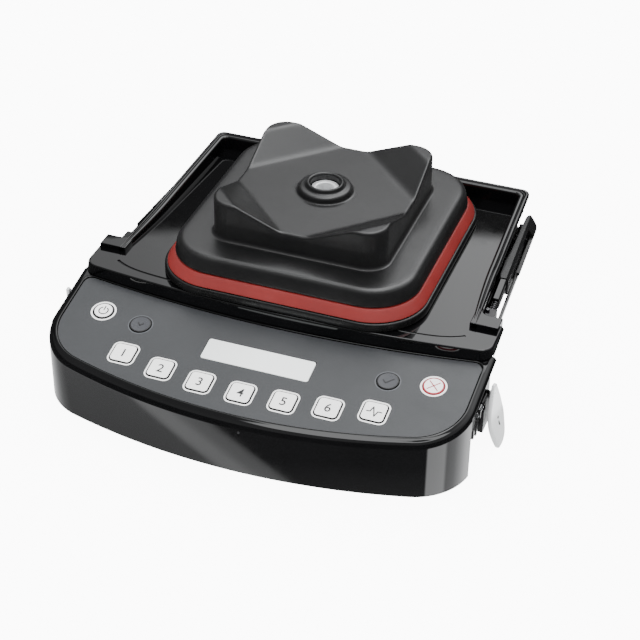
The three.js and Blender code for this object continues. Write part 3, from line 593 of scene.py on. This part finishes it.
def add_sides(shell):
    """Front ears with their webs, and the slotted side rails with the gutter inside them."""
    for side in (1, -1):
        ear = [(90.6, EAR_FRONT), (EAR_HALF, EAR_FRONT), (EAR_HALF, EAR_BACK), (98, EAR_BACK)]
        ear += bow((98, EAR_BACK), (93.8, EAR_BACK), (93.6, 29), 8, True)[1:]
        ear += [(92, 29), (90.6, 26)]
        shell.slab(mirror_points(ear, side), DECK_UNDER, EAR_TOP, 0.5, 0.2)
        web = [(90.6, 15.3), (101.4, 15.3), (101.4, 23.7), (90.6, 23.7)]
        shell.slab(mirror_points(web, side), -10.5, -1, 0.1, 0.4)
        start = len(shell.verts)
        shell.slab([(-0.8, -63), (0.8, -63), (0.8, 27), (-0.8, 27)], -10.5, -8, 0.3, 0.2)
        shell.slab([(-10, -5), (0.5, -5), (0.5, 42), (-10, 42)], -12.5, -10.4, 0.2, 0.4)
        shell.slab([(-10, -49.4), (-5.3, -49.4), (-5.3, -4), (-10, -4)], -12.5, -10.4, 0.2, 0.4)
        shell.slab([(-8, -63), (-6.4, -63), (-6.4, 42), (-8, 42)], -12.4, -8.3, 0.2, 0.4)
        shell.turn(on_rail(side), start)
        shell.slab(mirror_points([(86.5, 80), (89, 80), (89, 112), (86.5, 112)], side), -12.5, -0.5, 0.2,
                   0.4)


def add_posts(shell):
    """Four tall screw posts and four short bosses for the control housing's screws."""
    for x in (-60, 60):
        for y in (18, 118):
            profile = [(1.75, BASE_Z + 0.2), (1.95, BASE_Z), (4.7, BASE_Z), (5, BASE_Z + 0.3), (5, -2.9),
                       (1.75, -2.9)]
            shell.lathe(profile, x, y, 40)
    for x in (-85, -30, 30, 85):
        shell.lathe([(1.6, -5.4), (3.8, -5.4), (4, -5.2), (4, -2.9), (1.6, -2.9)], x, 9, 32)


def groove_line(side):
    """The shallow groove across each front corner of the deck."""
    points = []
    for i in range(33):
        t = i / 32
        points.append((side * (44 + 47 * t), -1.0 + 3.2 * t + 5 * t ** 6, 0.12))
    return points


def raw_object(name, shell):
    mesh = bpy.data.meshes.new(name)
    mesh.from_pydata([row(v) for v in shell.verts], [], shell.faces)
    finish_mesh(mesh, 30)
    return add_object(name, mesh)


def carved(shell, cutters):
    """The shell with the cutters' shapes taken out of it."""
    blank = raw_object("blank", shell)
    tools = [raw_object("tool", c) for c in cutters]
    for tool in tools:
        cut = blank.modifiers.new("cut", "BOOLEAN")
        cut.operation = "DIFFERENCE"
        cut.solver = "EXACT"
        cut.object = tool
    bpy.context.view_layer.update()
    mesh = bpy.data.meshes.new_from_object(blank.evaluated_get(bpy.context.evaluated_depsgraph_get()))
    out = Shell()
    out.verts = [tuple(v.co * 1000 - SHIFT) for v in mesh.vertices]
    out.faces = [tuple(p.vertices) for p in mesh.polygons]
    for thing in [blank] + tools:
        old = thing.data
        bpy.data.objects.remove(thing)
        bpy.data.meshes.remove(old)
    bpy.data.meshes.remove(mesh)
    return out


def deck():
    plate = Shell()
    add_deck(plate)
    shell = carved(plate, [Shell().tube(groove_line(side), 0.72, 12) for side in (1, -1)])
    add_rim(shell)
    add_sides(shell)
    add_posts(shell)
    piece("deck_shell", shell, "housing", M["gloss"], ("top_housing",))


# ---------------- control housing
# Points along each stretch of an outline, and the angles where the tall wall stops on a corner.
SIDE, CORNER, FRONT, BACK = 10, 18, 64, 40
STEP_ANGLE = math.degrees(math.asin((SKIRT_END + 30.6) / CORNER_RADIUS))
CORNER_STEPS = [0, STEP_ANGLE / 2, STEP_ANGLE + 0.05, STEP_ANGLE - 0.05]


def corner_angles(lean):
    """From the side to the front, with a close pair where the tall wall stops."""
    rest = CORNER - len(CORNER_STEPS)
    stop = math.degrees(lean) - 90
    angles = CORNER_STEPS + [lerp(STEP_ANGLE - 0.05, stop, i / (rest + 1)) for i in range(1, rest + 1)]
    return [math.radians(a) for a in angles + [stop]]


def closed_outline(half, corner, corner_y, bow_y, front_r, lean, side_y, back):
    """From the right side round the front to the left side, then the back; always as many points."""
    corner_x = PANEL_HALF - CORNER_RADIUS
    bend = [(corner * math.cos(a), corner * math.sin(a)) for a in corner_angles(lean)]
    points = line((half, side_y), (half, corner_y), SIDE)
    points += [(corner_x + x, corner_y + y) for x, y in bend[:-1]]
    points += arc(0, bow_y, front_r, -math.pi / 2 + lean, -math.pi / 2 - lean, FRONT, False)
    points += [(-corner_x - x, corner_y + y) for x, y in reversed(bend[1:])]
    points += line((-half, corner_y), (-half, side_y), SIDE)
    return points + back


def is_thin(i):
    """Whether the outline's point lies behind the end of the tall wall."""
    front_end = 2 * CORNER + SIDE + FRONT
    return i <= SIDE + 2 or i >= front_end - 2


def corner_place(bow_y):
    """Where a corner's arc is centred, and the lean at which it meets the bowed front."""
    corner_x = PANEL_HALF - CORNER_RADIUS
    reach = FRONT_RADIUS - CORNER_RADIUS
    return bow_y - math.sqrt(reach * reach - corner_x * corner_x), math.asin(corner_x / reach)


def housing_outline(d):
    half = PANEL_HALF - d
    bow_y = PANEL_FRONT + FRONT_RADIUS
    corner_y, lean = corner_place(bow_y)
    back = line((-half, PANEL_BACK), (half, PANEL_BACK), BACK)
    return closed_outline(half, CORNER_RADIUS - d, corner_y, bow_y, FRONT_RADIUS - d, lean, PANEL_BACK,
                          back)


def overlay_outline(extra):
    """In the panel's own plane."""
    d = OVERLAY_INSET - extra
    half = PANEL_HALF - d
    bow_y = (PANEL_FRONT + 0.4) / math.cos(TILT) + FRONT_RADIUS
    corner_y, lean = corner_place(bow_y)
    side, r = -3.4 + extra, 5
    third = BACK // 4
    back = bow((-half, side - r), (-half, side), (-half + r, side - 0.3), third)
    back += bow((-half + r, side - 0.3), (0, 2 * (OVERLAY_BACK + extra) - side), (half - r, side - 0.3),
                BACK - 2 * third)
    back += bow((half - r, side - 0.3), (half, side), (half, side - r), third)
    return closed_outline(half, CORNER_RADIUS - d, corner_y, bow_y, FRONT_RADIUS - d, lean, side - r, back)


def control_housing():
    def outer(d, n):
        return [(x, y, panel_z(y, max(n, -1.6) if is_thin(i) else n)) for i,
                (x, y) in enumerate(housing_outline(d))]

    def foot(d, thin_d, lift=0.0):
        out = []
        pairs = zip(housing_outline(d), housing_outline(thin_d))
        for i, ((x, y), (u, v)) in enumerate(pairs):
            out.append((u, v, panel_z(v, -1.62)) if is_thin(i) else (x, y, BASE_Z + lift))
        return out

    def lip(extra, n):
        turn = on_panel()
        return [tuple(turn @ Vector((x, y, n))) for x, y in overlay_outline(extra)]

    shell = Shell()
    rings = [[(x, y, panel_z(y, -4)) for x, y in housing_outline(4.4)], foot(2.5, 4.4), foot(0.35, 0.9),
             foot(0.1, 0.75, 0.12), foot(0.0, 0.6, 0.4)]
    rings += [outer(d, n) for d, n in ((0.0, -3.4), (0.04, -2.6), (0.18, -1.9), (0.45, -1.3), (0.85, -0.82),
                                       (1.4, -0.45), (2.0, -0.2), (2.6, -0.02))]
    rings += [lip(e, n) for e, n in ((1.6, 0.2), (1.3, 0.33), (1.0, 0.39), (0.75, 0.4), (0.55, 0.34),
                                     (0.4, 0.18),
                                     (0.32, -0.1), (0.3, -0.8))]
    shell.loft(rings)
    piece("control_shell", shell, "housing", M["gloss"], ("control_housing",),
          angle=50)


def pinhole():
    """The rim of the small hole in the middle of the front face."""
    shell = Shell()
    shell.lathe([(0.35, -0.5), (0.35, -0.02), (0.5, 0.0), (0.62, -0.02), (0.62, -0.5)], 0, 0, 24)
    shell.turn(Matrix.Translation((6, PANEL_FRONT + 0.04, -24)) @ Matrix.Rotation(math.pi / 2, 4, "X"))
    piece("pinhole_rim", shell, "housing", M["spring"], ())


# ---------------- panel sheet, prints and keys
# Centre and radius of each key in the panel's plane; radius 0 is a square key.
KEYS = {
    "key_power": (-85, -23.6, 5.1),
    "key_select": (-63.6, -26.8, 5.3),
    "key_confirm": (63.6, -26.8, 5.3),
    "key_cancel": (85, -23.6, 5.1),
}
for step in range(-3, 4):
    x = step * KEY_PITCH
    KEYS["key_pulse" if step == 3 else f"key_{step + 4}"] = (x, KEY_ROW + KEY_ROW_CURVE * x * x, 0)


def key_outline(name, extra=0.0):
    x, y, r = KEYS[name]
    if r:
        return circle(x, y, r + extra, 56)
    h = KEY_HALF + extra
    return rounded(x - h, x + h, y - h, y + h, 2.2 + extra, 10)


def flat_piece(name, outlines, n0, n1, material, body="housing", nodes=(), edge=0.0):
    """A sheet on the panel between two heights, with holes where outlines lie inside each other."""
    curve = bpy.data.curves.new(name, "CURVE")
    curve.dimensions = "2D"
    curve.fill_mode = "BOTH"
    curve.extrude = (n1 - n0) / 2 - edge
    curve.bevel_depth = edge
    curve.bevel_resolution = 1
    curve.offset = -edge
    for outline in outlines:
        part = curve.splines.new("POLY")
        part.points.add(len(outline) - 1)
        for p, (x, y) in zip(part.points, outline):
            p.co = (x, y, 0, 1)
        part.use_cyclic_u = True
    return settle_curve(name, curve, (n0 + n1) / 2, material, body, nodes)


def settle_curve(name, curve, n, material, body, nodes, place=(0, 0)):
    thing = add_object(name + "_source", curve)
    bpy.context.view_layer.update()
    mesh = bpy.data.meshes.new_from_object(thing.evaluated_get(bpy.context.evaluated_depsgraph_get()))
    mesh.name = name
    bpy.data.objects.remove(thing)
    bpy.data.curves.remove(curve)
    turn = on_panel() @ Matrix.Translation((place[0], place[1], n))
    scale = Matrix.Scale(0.001, 4)
    mesh.transform(scale @ Matrix.Translation(SHIFT) @ turn)
    finish_mesh(mesh, 30)
    return settle(name, mesh, body, material, nodes)


def capsule(a, b, width):
    """The outline of a short line with round ends."""
    turn = math.atan2(b[1] - a[1], b[0] - a[0])
    r = width / 2
    return (arc(b[0], b[1], r, turn - math.pi / 2, turn + math.pi / 2, 7)
            + arc(a[0], a[1], r, turn + math.pi / 2, turn + 1.5 * math.pi, 7))


def overlay_sheet():
    holes = [key_outline(k, 0.35) for k in KEYS]
    window = rounded(-WINDOW_HALF - 0.3, WINDOW_HALF + 0.3, WINDOW_FRONT - 0.3, WINDOW_BACK + 0.3, 1.3, 6)
    flat_piece("overlay_sheet", [overlay_outline(0)] + holes + [window], -0.5, 0.0, M["overlay"], "housing",
               ("control_overlay",), edge=0.06)


def key_cap(name):
    """A dished cap on a hollow stem, with a dark or red band round its foot."""
    x, y, r = KEYS[name]
    dark = name in ("key_select", "key_confirm")
    band = 0.65 if r else 0.35
    shell = Shell()
    outline = key_outline(name)
    rings = [[(u, v, -1.4) for u, v in outline]]
    for i in range(5):
        t = math.pi / 2 * i / 4
        d = 0.3 * (1 - math.cos(t))
        rings.append([(u, v, KEY_TOP - 0.3 * (1 - math.sin(t))) for u, v in inset(outline, d)])
    rings.append([(u, v, KEY_TOP) for u, v in inset(outline, band)])
    for s, drop in ((0.85, 0.02), (0.6, 0.05), (0.3, 0.06)):
        rings.append([(x + (u - x) * s, y + (v - y) * s, KEY_TOP - drop) for u, v in inset(outline, band)])
    shell.loft(rings)
    shell.lathe([(0.4, -6.4), (2.4, -6.4), (2.6, -6.2), (2.6, -1.3), (0.4, -1.3)], x, y, 28)
    shell.turn(on_panel())
    material = M["key_grey"] if dark else M["key_white"]
    thing = piece("cap_" + name, shell, name, material, (name,),
                  angle=40)
    thing.data.materials.append(M["print_red"] if name == "key_cancel" else M["print_dark"])
    for polygon in thing.data.polygons[:6 * len(outline)]:
        polygon.material_index = 1


def key_prints(name):
    """The printed border round a key and the dark line at its seat."""
    r = KEYS[name][2]
    grey = name in ("key_select", "key_confirm")
    inner = 0.42
    outer = 0.95 if grey else 1.3 if r else 1.2
    flat_piece("border_" + name, [key_outline(name, outer), key_outline(name, inner)], 0.0, 0.03,
               M["print_mid" if grey else "print_white"], "housing", ())
    flat_piece("seat_" + name, [key_outline(name, inner), key_outline(name, 0.3)], -0.01, 0.02,
               M["print_red" if name == "key_cancel" else "print_dark"], "housing", ())


def numeral(name, text):
    x, y, _ = KEYS[name]
    curve = bpy.data.curves.new("numeral_" + text, "FONT")
    curve.body = text
    curve.size = 7.0
    curve.align_x = "CENTER"
    curve.align_y = "CENTER"
    curve.extrude = 0.02
    curve.offset = 0.05
    settle_curve("numeral_" + text, curve, 0.49, M["print_grey"], name, (), (x, y - 0.2))


def icon(name, label, paths, width, tone):
    """Strokes of even width along each path."""
    shell = Shell()
    for path in paths:
        for a, b in zip(path, path[1:]):
            shell.slab(capsule(a, b, width), 0.4, 0.53, 0.02, 0.0, 2)
    shell.turn(on_panel())
    piece(label, shell, name, M[tone], ())


def icons():
    x, y, _ = KEYS["key_power"]
    turn = [math.radians(90 + 34 + i * 292 / 24) for i in range(25)]
    icon("key_power", "icon_power", [[(x + 2.3 * math.cos(a), y + 2.3 * math.sin(a)) for a in turn],
                                     [(x, y + 0.5), (x, y + 2.9)]], 0.6, "print_grey")
    x, y, _ = KEYS["key_select"]
    icon("key_select", "icon_select", [[(x - 1.4, y + 0.6), (x, y - 1.0), (x + 1.4, y + 0.6)]], 0.6,
         "print_dark")
    x, y, _ = KEYS["key_confirm"]
    icon("key_confirm", "icon_confirm", [[(x - 2.3, y - 0.1), (x - 0.7, y - 1.6), (x + 2.5, y + 1.8)]], 0.6,
         "print_dark")
    x, y, _ = KEYS["key_cancel"]
    icon("key_cancel", "icon_cancel", [[(x - 2.5, y - 2.5), (x + 2.5, y + 2.5)],
                                       [(x - 2.5, y + 2.5), (x + 2.5, y - 2.5)]],
         0.5, "print_red")
    x, y, _ = KEYS["key_pulse"]
    wave = [(x - 3.6, y - 0.3), (x - 2.0, y - 0.2), (x - 1.0, y + 2.7), (x + 0.7, y - 2.7),
            (x + 1.7, y + 0.3),
            (x + 3.6, y + 0.3)]
    icon("key_pulse", "icon_pulse", [wave], 0.6, "print_grey")


def window():
    shell = Shell()
    shell.slab(rounded(-WINDOW_HALF, WINDOW_HALF, WINDOW_FRONT, WINDOW_BACK, 1.2, 6), -1.4, -0.1, 0.15, 0.1)
    shell.turn(on_panel())
    piece("window_pane", shell, "housing", M["display"], ("display_window",))


# ---------------- jar pad and rings
AROUND = 24  # points along each half side and each corner


def square_ring(half, r):
    """A rounded square about the pad's centre, starting at the middle of the right side."""
    points = []
    reach = max(half - r, 0.0)
    for quarter in range(4):
        a = quarter * math.pi / 2
        turn = Matrix.Rotation(a, 2)
        local = [(half, reach * i / AROUND) for i in range(AROUND)]
        local += [(reach + r * math.cos(t), reach + r * math.sin(t)) for t in
                  [math.pi / 2 * i / AROUND for i in range(AROUND)]]
        local += [(reach * (1 - i / AROUND), half) for i in range(AROUND)]
        points += [tuple(turn @ Vector(p)) for p in local]
    return points


def circle_ring(r):
    """A circle whose points face the points of square_ring."""
    points = []
    for p in square_ring(40, 14):
        v = Vector(p).normalized() * r
        points.append((v.x, v.y))
    return points


def soft_above(u, w):
    """u where it is positive and 0 elsewhere, with the kink rounded over a width w each way."""
    if u <= -w:
        return 0.0
    if u >= w:
        return u
    return (u + w) ** 2 / (4 * w)


def pad_top(x, y):
    """Height of the block's top: a plateau with a ramp up to a prong at each corner."""
    slope = (PRONG_TOP - PLATEAU) / (PRONG_HEAD - PRONG_FOOT)
    d = (abs(x) + abs(y)) / math.sqrt(2)
    rise = slope * soft_above(d - PRONG_FOOT, 1.7)
    cap = PRONG_TOP - PLATEAU
    return PLATEAU + cap - soft_above(cap - rise, 0.35) if rise > cap - 0.5 else PLATEAU + rise


def at_pad(points, z):
    if callable(z):
        return [(x, y + PAD_Y, z(x, y)) for x, y in points]
    return [(x, y + PAD_Y, z) for x, y in points]


def jar_pad():
    shell = Shell()
    rings = []
    for r, z in ((7.5, 28.2), (7.5, 34.6), (7.7, 35.2), (8.2, 35.6), (8.7, 35.75), (9.2, 35.6),
                 (9.55, 35.1),
                 (9.75, 34.4), (10.0, 33.9), (10.5, 33.65), (11.6, 33.6), (12.6, 33.45), (13.2, 33.1),
                 (13.6, 32.5),
                 (13.75, 31.8), (13.85, 31.0), (14.1, 30.55), (14.6, 30.35), (BOSS_EDGE, PLATEAU)):
        rings.append(at_pad(circle_ring(r), z))
    steps = 36
    edge = 1.5
    limit = BLOCK_HALF - edge
    for i in range(1, steps + 1):
        t = i / steps
        half = lerp(BOSS_EDGE, limit, t)
        r = lerp(BOSS_EDGE, BLOCK_CORNER - edge, min(1.0, t * 1.35) ** 0.7)
        rings.append(at_pad(square_ring(half, min(r, half)), pad_top))
    for i in range(1, 8):
        t = math.pi / 2 * i / 7
        d = edge * (1 - math.sin(t))
        drop = edge * (1 - math.cos(t))
        rings.append(at_pad(square_ring(BLOCK_HALF - d, BLOCK_CORNER - d), lambda x, y,
                            h=drop: pad_top(x, y) - h))
    rings.append(at_pad(square_ring(BLOCK_HALF, BLOCK_CORNER), 21.0))
    for i in range(1, 6):
        t = math.pi / 2 * i / 5
        d = 1.9 * (1 - math.cos(t))
        rings.append(at_pad(square_ring(BLOCK_HALF + d, BLOCK_CORNER + d),
                            FLANGE_TOP + 1.9 * (1 - math.sin(t))))
    for half, z in ((52, FLANGE_TOP), (56.5, FLANGE_TOP), (59.0, 18.85), (59.9, 18.7), (60.8, 18.35),
                    (61.5, 17.8), (62.05, 17.1),
                    (62.5, 16.1), (62.85, 14.9), (63.15, 13.4), (63.4, 12.0), (63.6, 11.1), (63.5, 10.5),
                    (63.2, FLANGE_BOTTOM)):
        rings.append(at_pad(square_ring(half, max(15.0, half - 38.4)), z))
    for r, z in ((33, FLANGE_BOTTOM), (33, -3), (22, -3), (22, 24), (18, 27.2)):
        rings.append(at_pad(circle_ring(r), z))
    shell.loft(rings, caps=(False, False), wrap=True)
    piece("pad_body", shell, "housing", M["pad"], ("jar_pad",), angle=50)


def ring_piece(name, node, profile, material):
    shell = Shell()
    rings = [at_pad(circle_ring(BAND_BORE), profile[0][2])]
    rings += [at_pad(square_ring(h, r), z) for h, r, z in profile]
    rings.append(at_pad(circle_ring(BAND_BORE), profile[-1][2]))
    shell.loft(rings, caps=(False, False), wrap=True)
    piece(name, shell, "housing", material, (node,), angle=60)


def rings():
    ring_piece("red_band", "red_ring",
               [(63.4, 25.0, 9.9), (63.8, 25.4, 9.85), (64.3, 25.75, 9.6), (65.1, 26.2, 8.6),
                (66.4, 26.9, 6.6),
                (67.0, 27.4, 5.5), (67.25, 27.65, 5.0), (67.3, 27.7, 4.7), (67.1, 27.5, 4.5)], M["red"])
    ring_piece("base_band", "pad_base_ring",
               [(67.2, 27.6, 4.2), (67.8, 28.0, 4.15), (68.25, 28.2, 3.9), (68.5, 28.4, 3.4),
                (68.6, 28.5, 1.8),
                (68.6, 28.5, 0.6), (68.4, 28.3, 0.3)], M["pad_dark"])


# ---------------- drive
def drive():
    shell = Shell()
    shell.lathe([(5.2, 21), (6.3, 21), (7.1, 22), (7.1, 31.7), (6.95, 32.15), (6.5, 32.4), (4.75, 32.4),
                 (4.35, 32.2),
                 (4.2, 31.9), (4.2, 26.1), (5.2, 26.1)], 0, PAD_Y, 96)
    piece("socket_ring", shell, "drive", M["socket"], ("drive_socket",), angle=40)


# ---------------- springs
def helix(radius, length, turns):
    points = []
    count = int(turns * 28)
    for i in range(count + 1):
        t = i / count
        a = t * turns * 2 * math.pi
        points.append((radius * math.cos(a), length * t, radius * math.sin(a)))
    return points


def springs(side, tag):
    shell = Shell()
    shell.tube([(x - 3.6, y - 49.1, z - 3.8) for x, y, z in helix(1.7, 7.2, 4.5)], 0.3, 10)
    shell.turn(on_rail(side))
    piece("wire_latch_" + tag, shell, "housing", M["spring"], ("latch_spring_" + tag,),
          weighted=False)
    shell = Shell()
    shell.tube([(PIN_X + x, y - 24.5, PIN_Z + z) for x, y, z in helix(1.1, 4.9, 5)], 0.22, 10)
    shell.turn(Matrix.Diagonal((side, 1, 1, 1)))
    piece("wire_lever_" + tag, shell, "housing", M["steel"], ("lever_spring_" + tag,),
          weighted=False)


# ---------------- latch and lever
def paddle(side, tag):
    """A rounded sheet that curls outwards at its lower end, with two small marks on its face."""
    face = spline([(111.6, -10.8), (111.4, -20), (111.2, -28.5), (111.8, -34.4), (113.1, -39),
                   (115.2, -43.4),
                   (116.2, -46.6)], 44)
    back = spline([(109.9, -10.8), (109.1, -20), (109.1, -29), (109.7, -36), (110.9, -40.3), (112.3, -43.9),
                   (114.4, -47.6)], 44)

    def depth(points, z):
        for (x0, z0), (x1, z1) in zip(points, points[1:]):
            if z0 >= z >= z1:
                return lerp(x0, x1, (z0 - z) / (z0 - z1))
        return points[0][0] if z > points[0][1] else points[-1][0]

    rim = spline([(-9.5, -10.8), (-4, -19.7), (0.9, -28.6), (2.6, -35), (0.4, -40.3), (-4.4, -44.8),
                  (-8, -46.6)], 40)
    low, high = (PADDLE_FRONT, PADDLE_LOW), (PADDLE_FRONT, PADDLE_TOP)
    outline = line(low, high, 30) + line(high, (-9.5, PADDLE_TOP), 3) + rim
    shell = Shell()

    def level(d, t):
        ring = []
        for y, z in inset(outline, d):
            zz = max(PADDLE_LOW, min(PADDLE_TOP, z))
            x = lerp(depth(back, zz), depth(face, zz), t) + PADDLE_SHEAR * (y - PADDLE_FRONT)
            ring.append((x, y, z))
        return ring

    rings = [level(0.9, 0), level(0.35, 0.0), level(0.1, 0.1), level(0, 0.3), level(0, 0.7),
             level(0.1, 0.9),
             level(0.35, 1.0), level(0.6, 1.0), level(0.9, 1.0)]
    shell.loft(rings, caps=(False, False))
    for t, flip in ((1.0, False), (0.0, True)):
        ring = level(0.9, t)
        previous = ring
        for s in (0.8, 0.6, 0.4, 0.2):
            nxt = []
            for y, z in inset(outline, 0.9):
                yy, zz = lerp(-6.5, y, s), lerp(-29, z, s)
                x = lerp(depth(back, zz), depth(face, zz), t) + PADDLE_SHEAR * (yy - PADDLE_FRONT)
                nxt.append((x, yy, zz))
            shell.loft([previous, nxt], caps=(False, False))
            previous = nxt
        shell.loft([previous], caps=(False, True))
    shell.turn(Matrix.Diagonal((side, 1, 1, 1)))
    piece("paddle_" + tag, shell, "lever_" + tag, M["silver"], ("lever_paddle_" + tag,),
          angle=50,
          weighted=False)
    marks = Shell()
    for outline in (rounded(-5.2, -4.1, -39.2, -36.2, 0.5, 5), circle(-4.65, -34.3, 0.75, 20)):
        rings = []
        for lift in (-0.3, 0.03):
            rings.append([(depth(face, z) + PADDLE_SHEAR * (y - PADDLE_FRONT) + lift, y, z) for y,
                          z in outline])
        marks.loft(rings)
    marks.turn(Matrix.Diagonal((side, 1, 1, 1)))
    piece("paddle_marks_" + tag, marks, "lever_" + tag, M["print_grey"], ())


# ---------------- stage
def camera():
    azimuth, elevation, roll = math.radians(19.669), math.radians(35.523), math.radians(0.766)
    target = Vector((21.909, -5.372, 0))
    back = Vector((math.sin(azimuth) * math.cos(elevation), -math.cos(azimuth) * math.cos(elevation),
                   math.sin(elevation)))
    right = (-back).cross(Vector((0, 0, 1))).normalized()
    up = right.cross(-back)
    right, up = right * math.cos(roll) + up * math.sin(roll), up * math.cos(roll) - right * math.sin(roll)
    data = bpy.data.cameras.new("camera")
    data.lens = 97.92
    data.sensor_width = 36
    data.clip_start = 0.05
    data.clip_end = 30
    eye = add_object("camera", data)
    place = Matrix((right, up, back)).transposed().to_4x4()
    place.translation = row(target + back * 836.47)
    eye.matrix_world = place
    bpy.context.scene.camera = eye


def lamp(name, place, size, power):
    data = bpy.data.lights.new(name, "AREA")
    data.shape = "RECTANGLE"
    data.size, data.size_y = size
    data.energy = power
    thing = add_object(name, data)
    thing.location = place
    thing.visible_glossy = False
    thing.rotation_mode = "QUATERNION"
    thing.rotation_quaternion = (-Vector(place)).to_track_quat("-Z", "Y")


def world():
    """White surroundings; glossy surfaces see the soft boxes and dark cards of a studio instead."""
    made = bpy.data.worlds.new("studio")
    bpy.context.scene.world = made
    made.use_nodes = True
    tree = made.node_tree
    links = tree.links
    base = tree.nodes["Background"]
    place = tree.nodes.new("ShaderNodeTexCoord")
    split = tree.nodes.new("ShaderNodeSeparateXYZ")
    links.new(place.outputs["Generated"], split.inputs["Vector"])
    x, y, z = (split.outputs[k] for k in ("X", "Y", "Z"))

    def calc(kind, a, b=0.0):
        node = tree.nodes.new("ShaderNodeMath")
        node.operation = kind
        for i, v in enumerate((a, b)):
            if isinstance(v, (int, float)):
                node.inputs[i].default_value = v
            else:
                links.new(v, node.inputs[i])
        return node.outputs[0]

    def levels(angle, stops):
        """Brightness by angle in degrees, straight between stops."""
        node = tree.nodes.new("ShaderNodeValToRGB")
        links.new(calc("ADD", calc("DIVIDE", angle, 360.0), 0.5), node.inputs["Fac"])
        elements = node.color_ramp.elements
        while len(elements) < len(stops):
            elements.new(0.5)
        for element, (degrees, value) in zip(elements, stops):
            element.position = degrees / 360 + 0.5
            element.color = (value / 10, value / 10, value / 10, 1)
        return calc("MULTIPLY", node.outputs["Color"], 10.0)

    rise = calc("MULTIPLY", calc("ARCSINE", z), 180 / math.pi)
    rear = calc("MULTIPLY", calc("ARCTAN2", x, y), 180 / math.pi)
    front = calc("MULTIPLY", calc("ARCTAN2", x, calc("MULTIPLY", y, -1.0)), 180 / math.pi)
    # above: a wide soft box behind the object, brighter towards the right, with a dark wall under it
    box = levels(rear, ((-180, 0.3), (-75, 0.15), (-55, 0.5), (-40, 1.0), (-27, 1.35), (-14, 3.1), (0, 3.3),
                        (40, 1.0),
                        (80, 0.4), (180, 0.25)))
    box = calc("MULTIPLY", box, span(tree, rise, 36.0, 44.0, 1.0, 1.5))
    wall = span(tree, rise, 32.4, 32.7, 0.0, 1.0)
    strip = calc("MULTIPLY", span(tree, rise, 72.0, 73.0, 0.0, 4.5), span(tree, rise, 81.0, 82.0, 1.0, 0.0))
    above = calc("ADD", calc("MULTIPLY", calc("ADD", box, strip), wall), 0.09)
    # below: what the upright front faces see, with slanted cards to the left of the middle
    lean = calc("MULTIPLY", calc("ADD", rise, 39.0), span(tree, front, 0.0, 20.0, 6.6, 0.0))
    cards = levels(calc("ADD", front, lean), ((-180, 1.8), (-118, 1.7), (-98, 1.2), (-80, 0.8), (-61, 0.6),
                                              (-40, 0.9),
                                             (-37.2, 0.95), (-36.4, 2.4), (-31.5, 2.4), (-30.5, 1.65),
                                             (-25.6, 1.5),
                                             (-24.4, 0.08), (43, 0.08), (46, 4.2), (78, 4.2), (84, 1.7),
                                             (100, 1.9),
                                             (130, 3.8), (180, 2.4)))
    under = span(tree, rise, -42.0, -40.3, 0.25, 0.0)
    below = calc("MULTIPLY", calc("ADD", cards, under), span(tree, rise, -35.0, -33.0, 1.0, 0.0))
    seen = calc("ADD", above, below)
    rays = tree.nodes.new("ShaderNodeLightPath")
    level = tree.nodes.new("ShaderNodeMix")
    level.data_type = "FLOAT"
    links.new(rays.outputs["Is Glossy Ray"], level.inputs["Factor"])
    level.inputs["A"].default_value = 2.0
    links.new(seen, level.inputs["B"])
    links.new(level.outputs["Result"], base.inputs["Strength"])
    base.inputs["Color"].default_value = (0.98, 0.99, 1.0, 1)


def floor():
    mesh = bpy.data.meshes.new("floor")
    s = 6.0
    mesh.from_pydata([(-s, -s, 0), (s, -s, 0), (s, s, 0), (-s, s, 0)], [], [(0, 1, 2, 3)])
    ground = add_object("floor", mesh)
    material, tree, shader = new_material("floor_white")
    tree.links.new(ramp(tree, noise(tree, 3.0), 0.3, 0.7, (0.93, 0.93, 0.93), (0.95, 0.95, 0.95)),
                   shader.inputs["Base Color"])
    shader.inputs["Roughness"].default_value = 0.9
    shader.inputs["Emission Color"].default_value = (1, 1, 1, 1)
    rays = tree.nodes.new("ShaderNodeLightPath")
    tree.links.new(span(tree, rays.outputs["Is Camera Ray"], 0.0, 1.0, 0.6, 9.0),
                   shader.inputs["Emission Strength"])
    mesh.materials.append(material)
    ground.visible_glossy = False


# ---------------- assembly
camera()
world()
floor()
lamp("key_light", (-0.5, 1.3, 1.6), (1.6, 1.2), 8)
lamp("top_light", (0.2, -0.2, 2.2), (1.8, 1.8), 8)

deck()
control_housing()
pinhole()
overlay_sheet()
window()
for key in KEYS:
    key_cap(key)
    key_prints(key)
for digit in "123456":
    numeral("key_" + digit, digit)
icons()
jar_pad()
rings()
drive()
for side, tag in ((1, "right"), (-1, "left")):
    springs(side, tag)
    paddle(side, tag)
    from_node("latch_slider_" + tag, "latch_" + tag, M["black"], 0.45)
    from_node("latch_rod_" + tag, "latch_" + tag, M["gloss"], 0.3)
    from_node("latch_guide_" + tag, "housing", M["black"])
    from_node("lever_bracket_" + tag, "housing", M["black"])
    from_node("lever_body_" + tag, "lever_" + tag, M["black"])
    from_node("guide_screw_" + tag, "housing", M["spring"], 0.1)
    from_node("lever_pin_" + tag, "housing", M["steel"], 0.1)
    from_node("bracket_screw_" + tag, "housing", M["steel"], 0.15)

shown = {"display_module": "black", "control_board": "board", "board_connector": "key_white",
         "pad_retainer": "steel", "bearing_housing": "cast", "drive_bearing": "steel",
         "drive_shaft": "steel",
         "retaining_ring": "steel"}
for i in range(1, 5):
    shown[f"pad_screw_{i}"] = "steel"
    shown[f"housing_screw_{i}"] = "steel"
for node, tone in shown.items():
    mesh = frame["nodes"][node].data
    mesh.materials.clear()
    mesh.materials.append(M[tone])
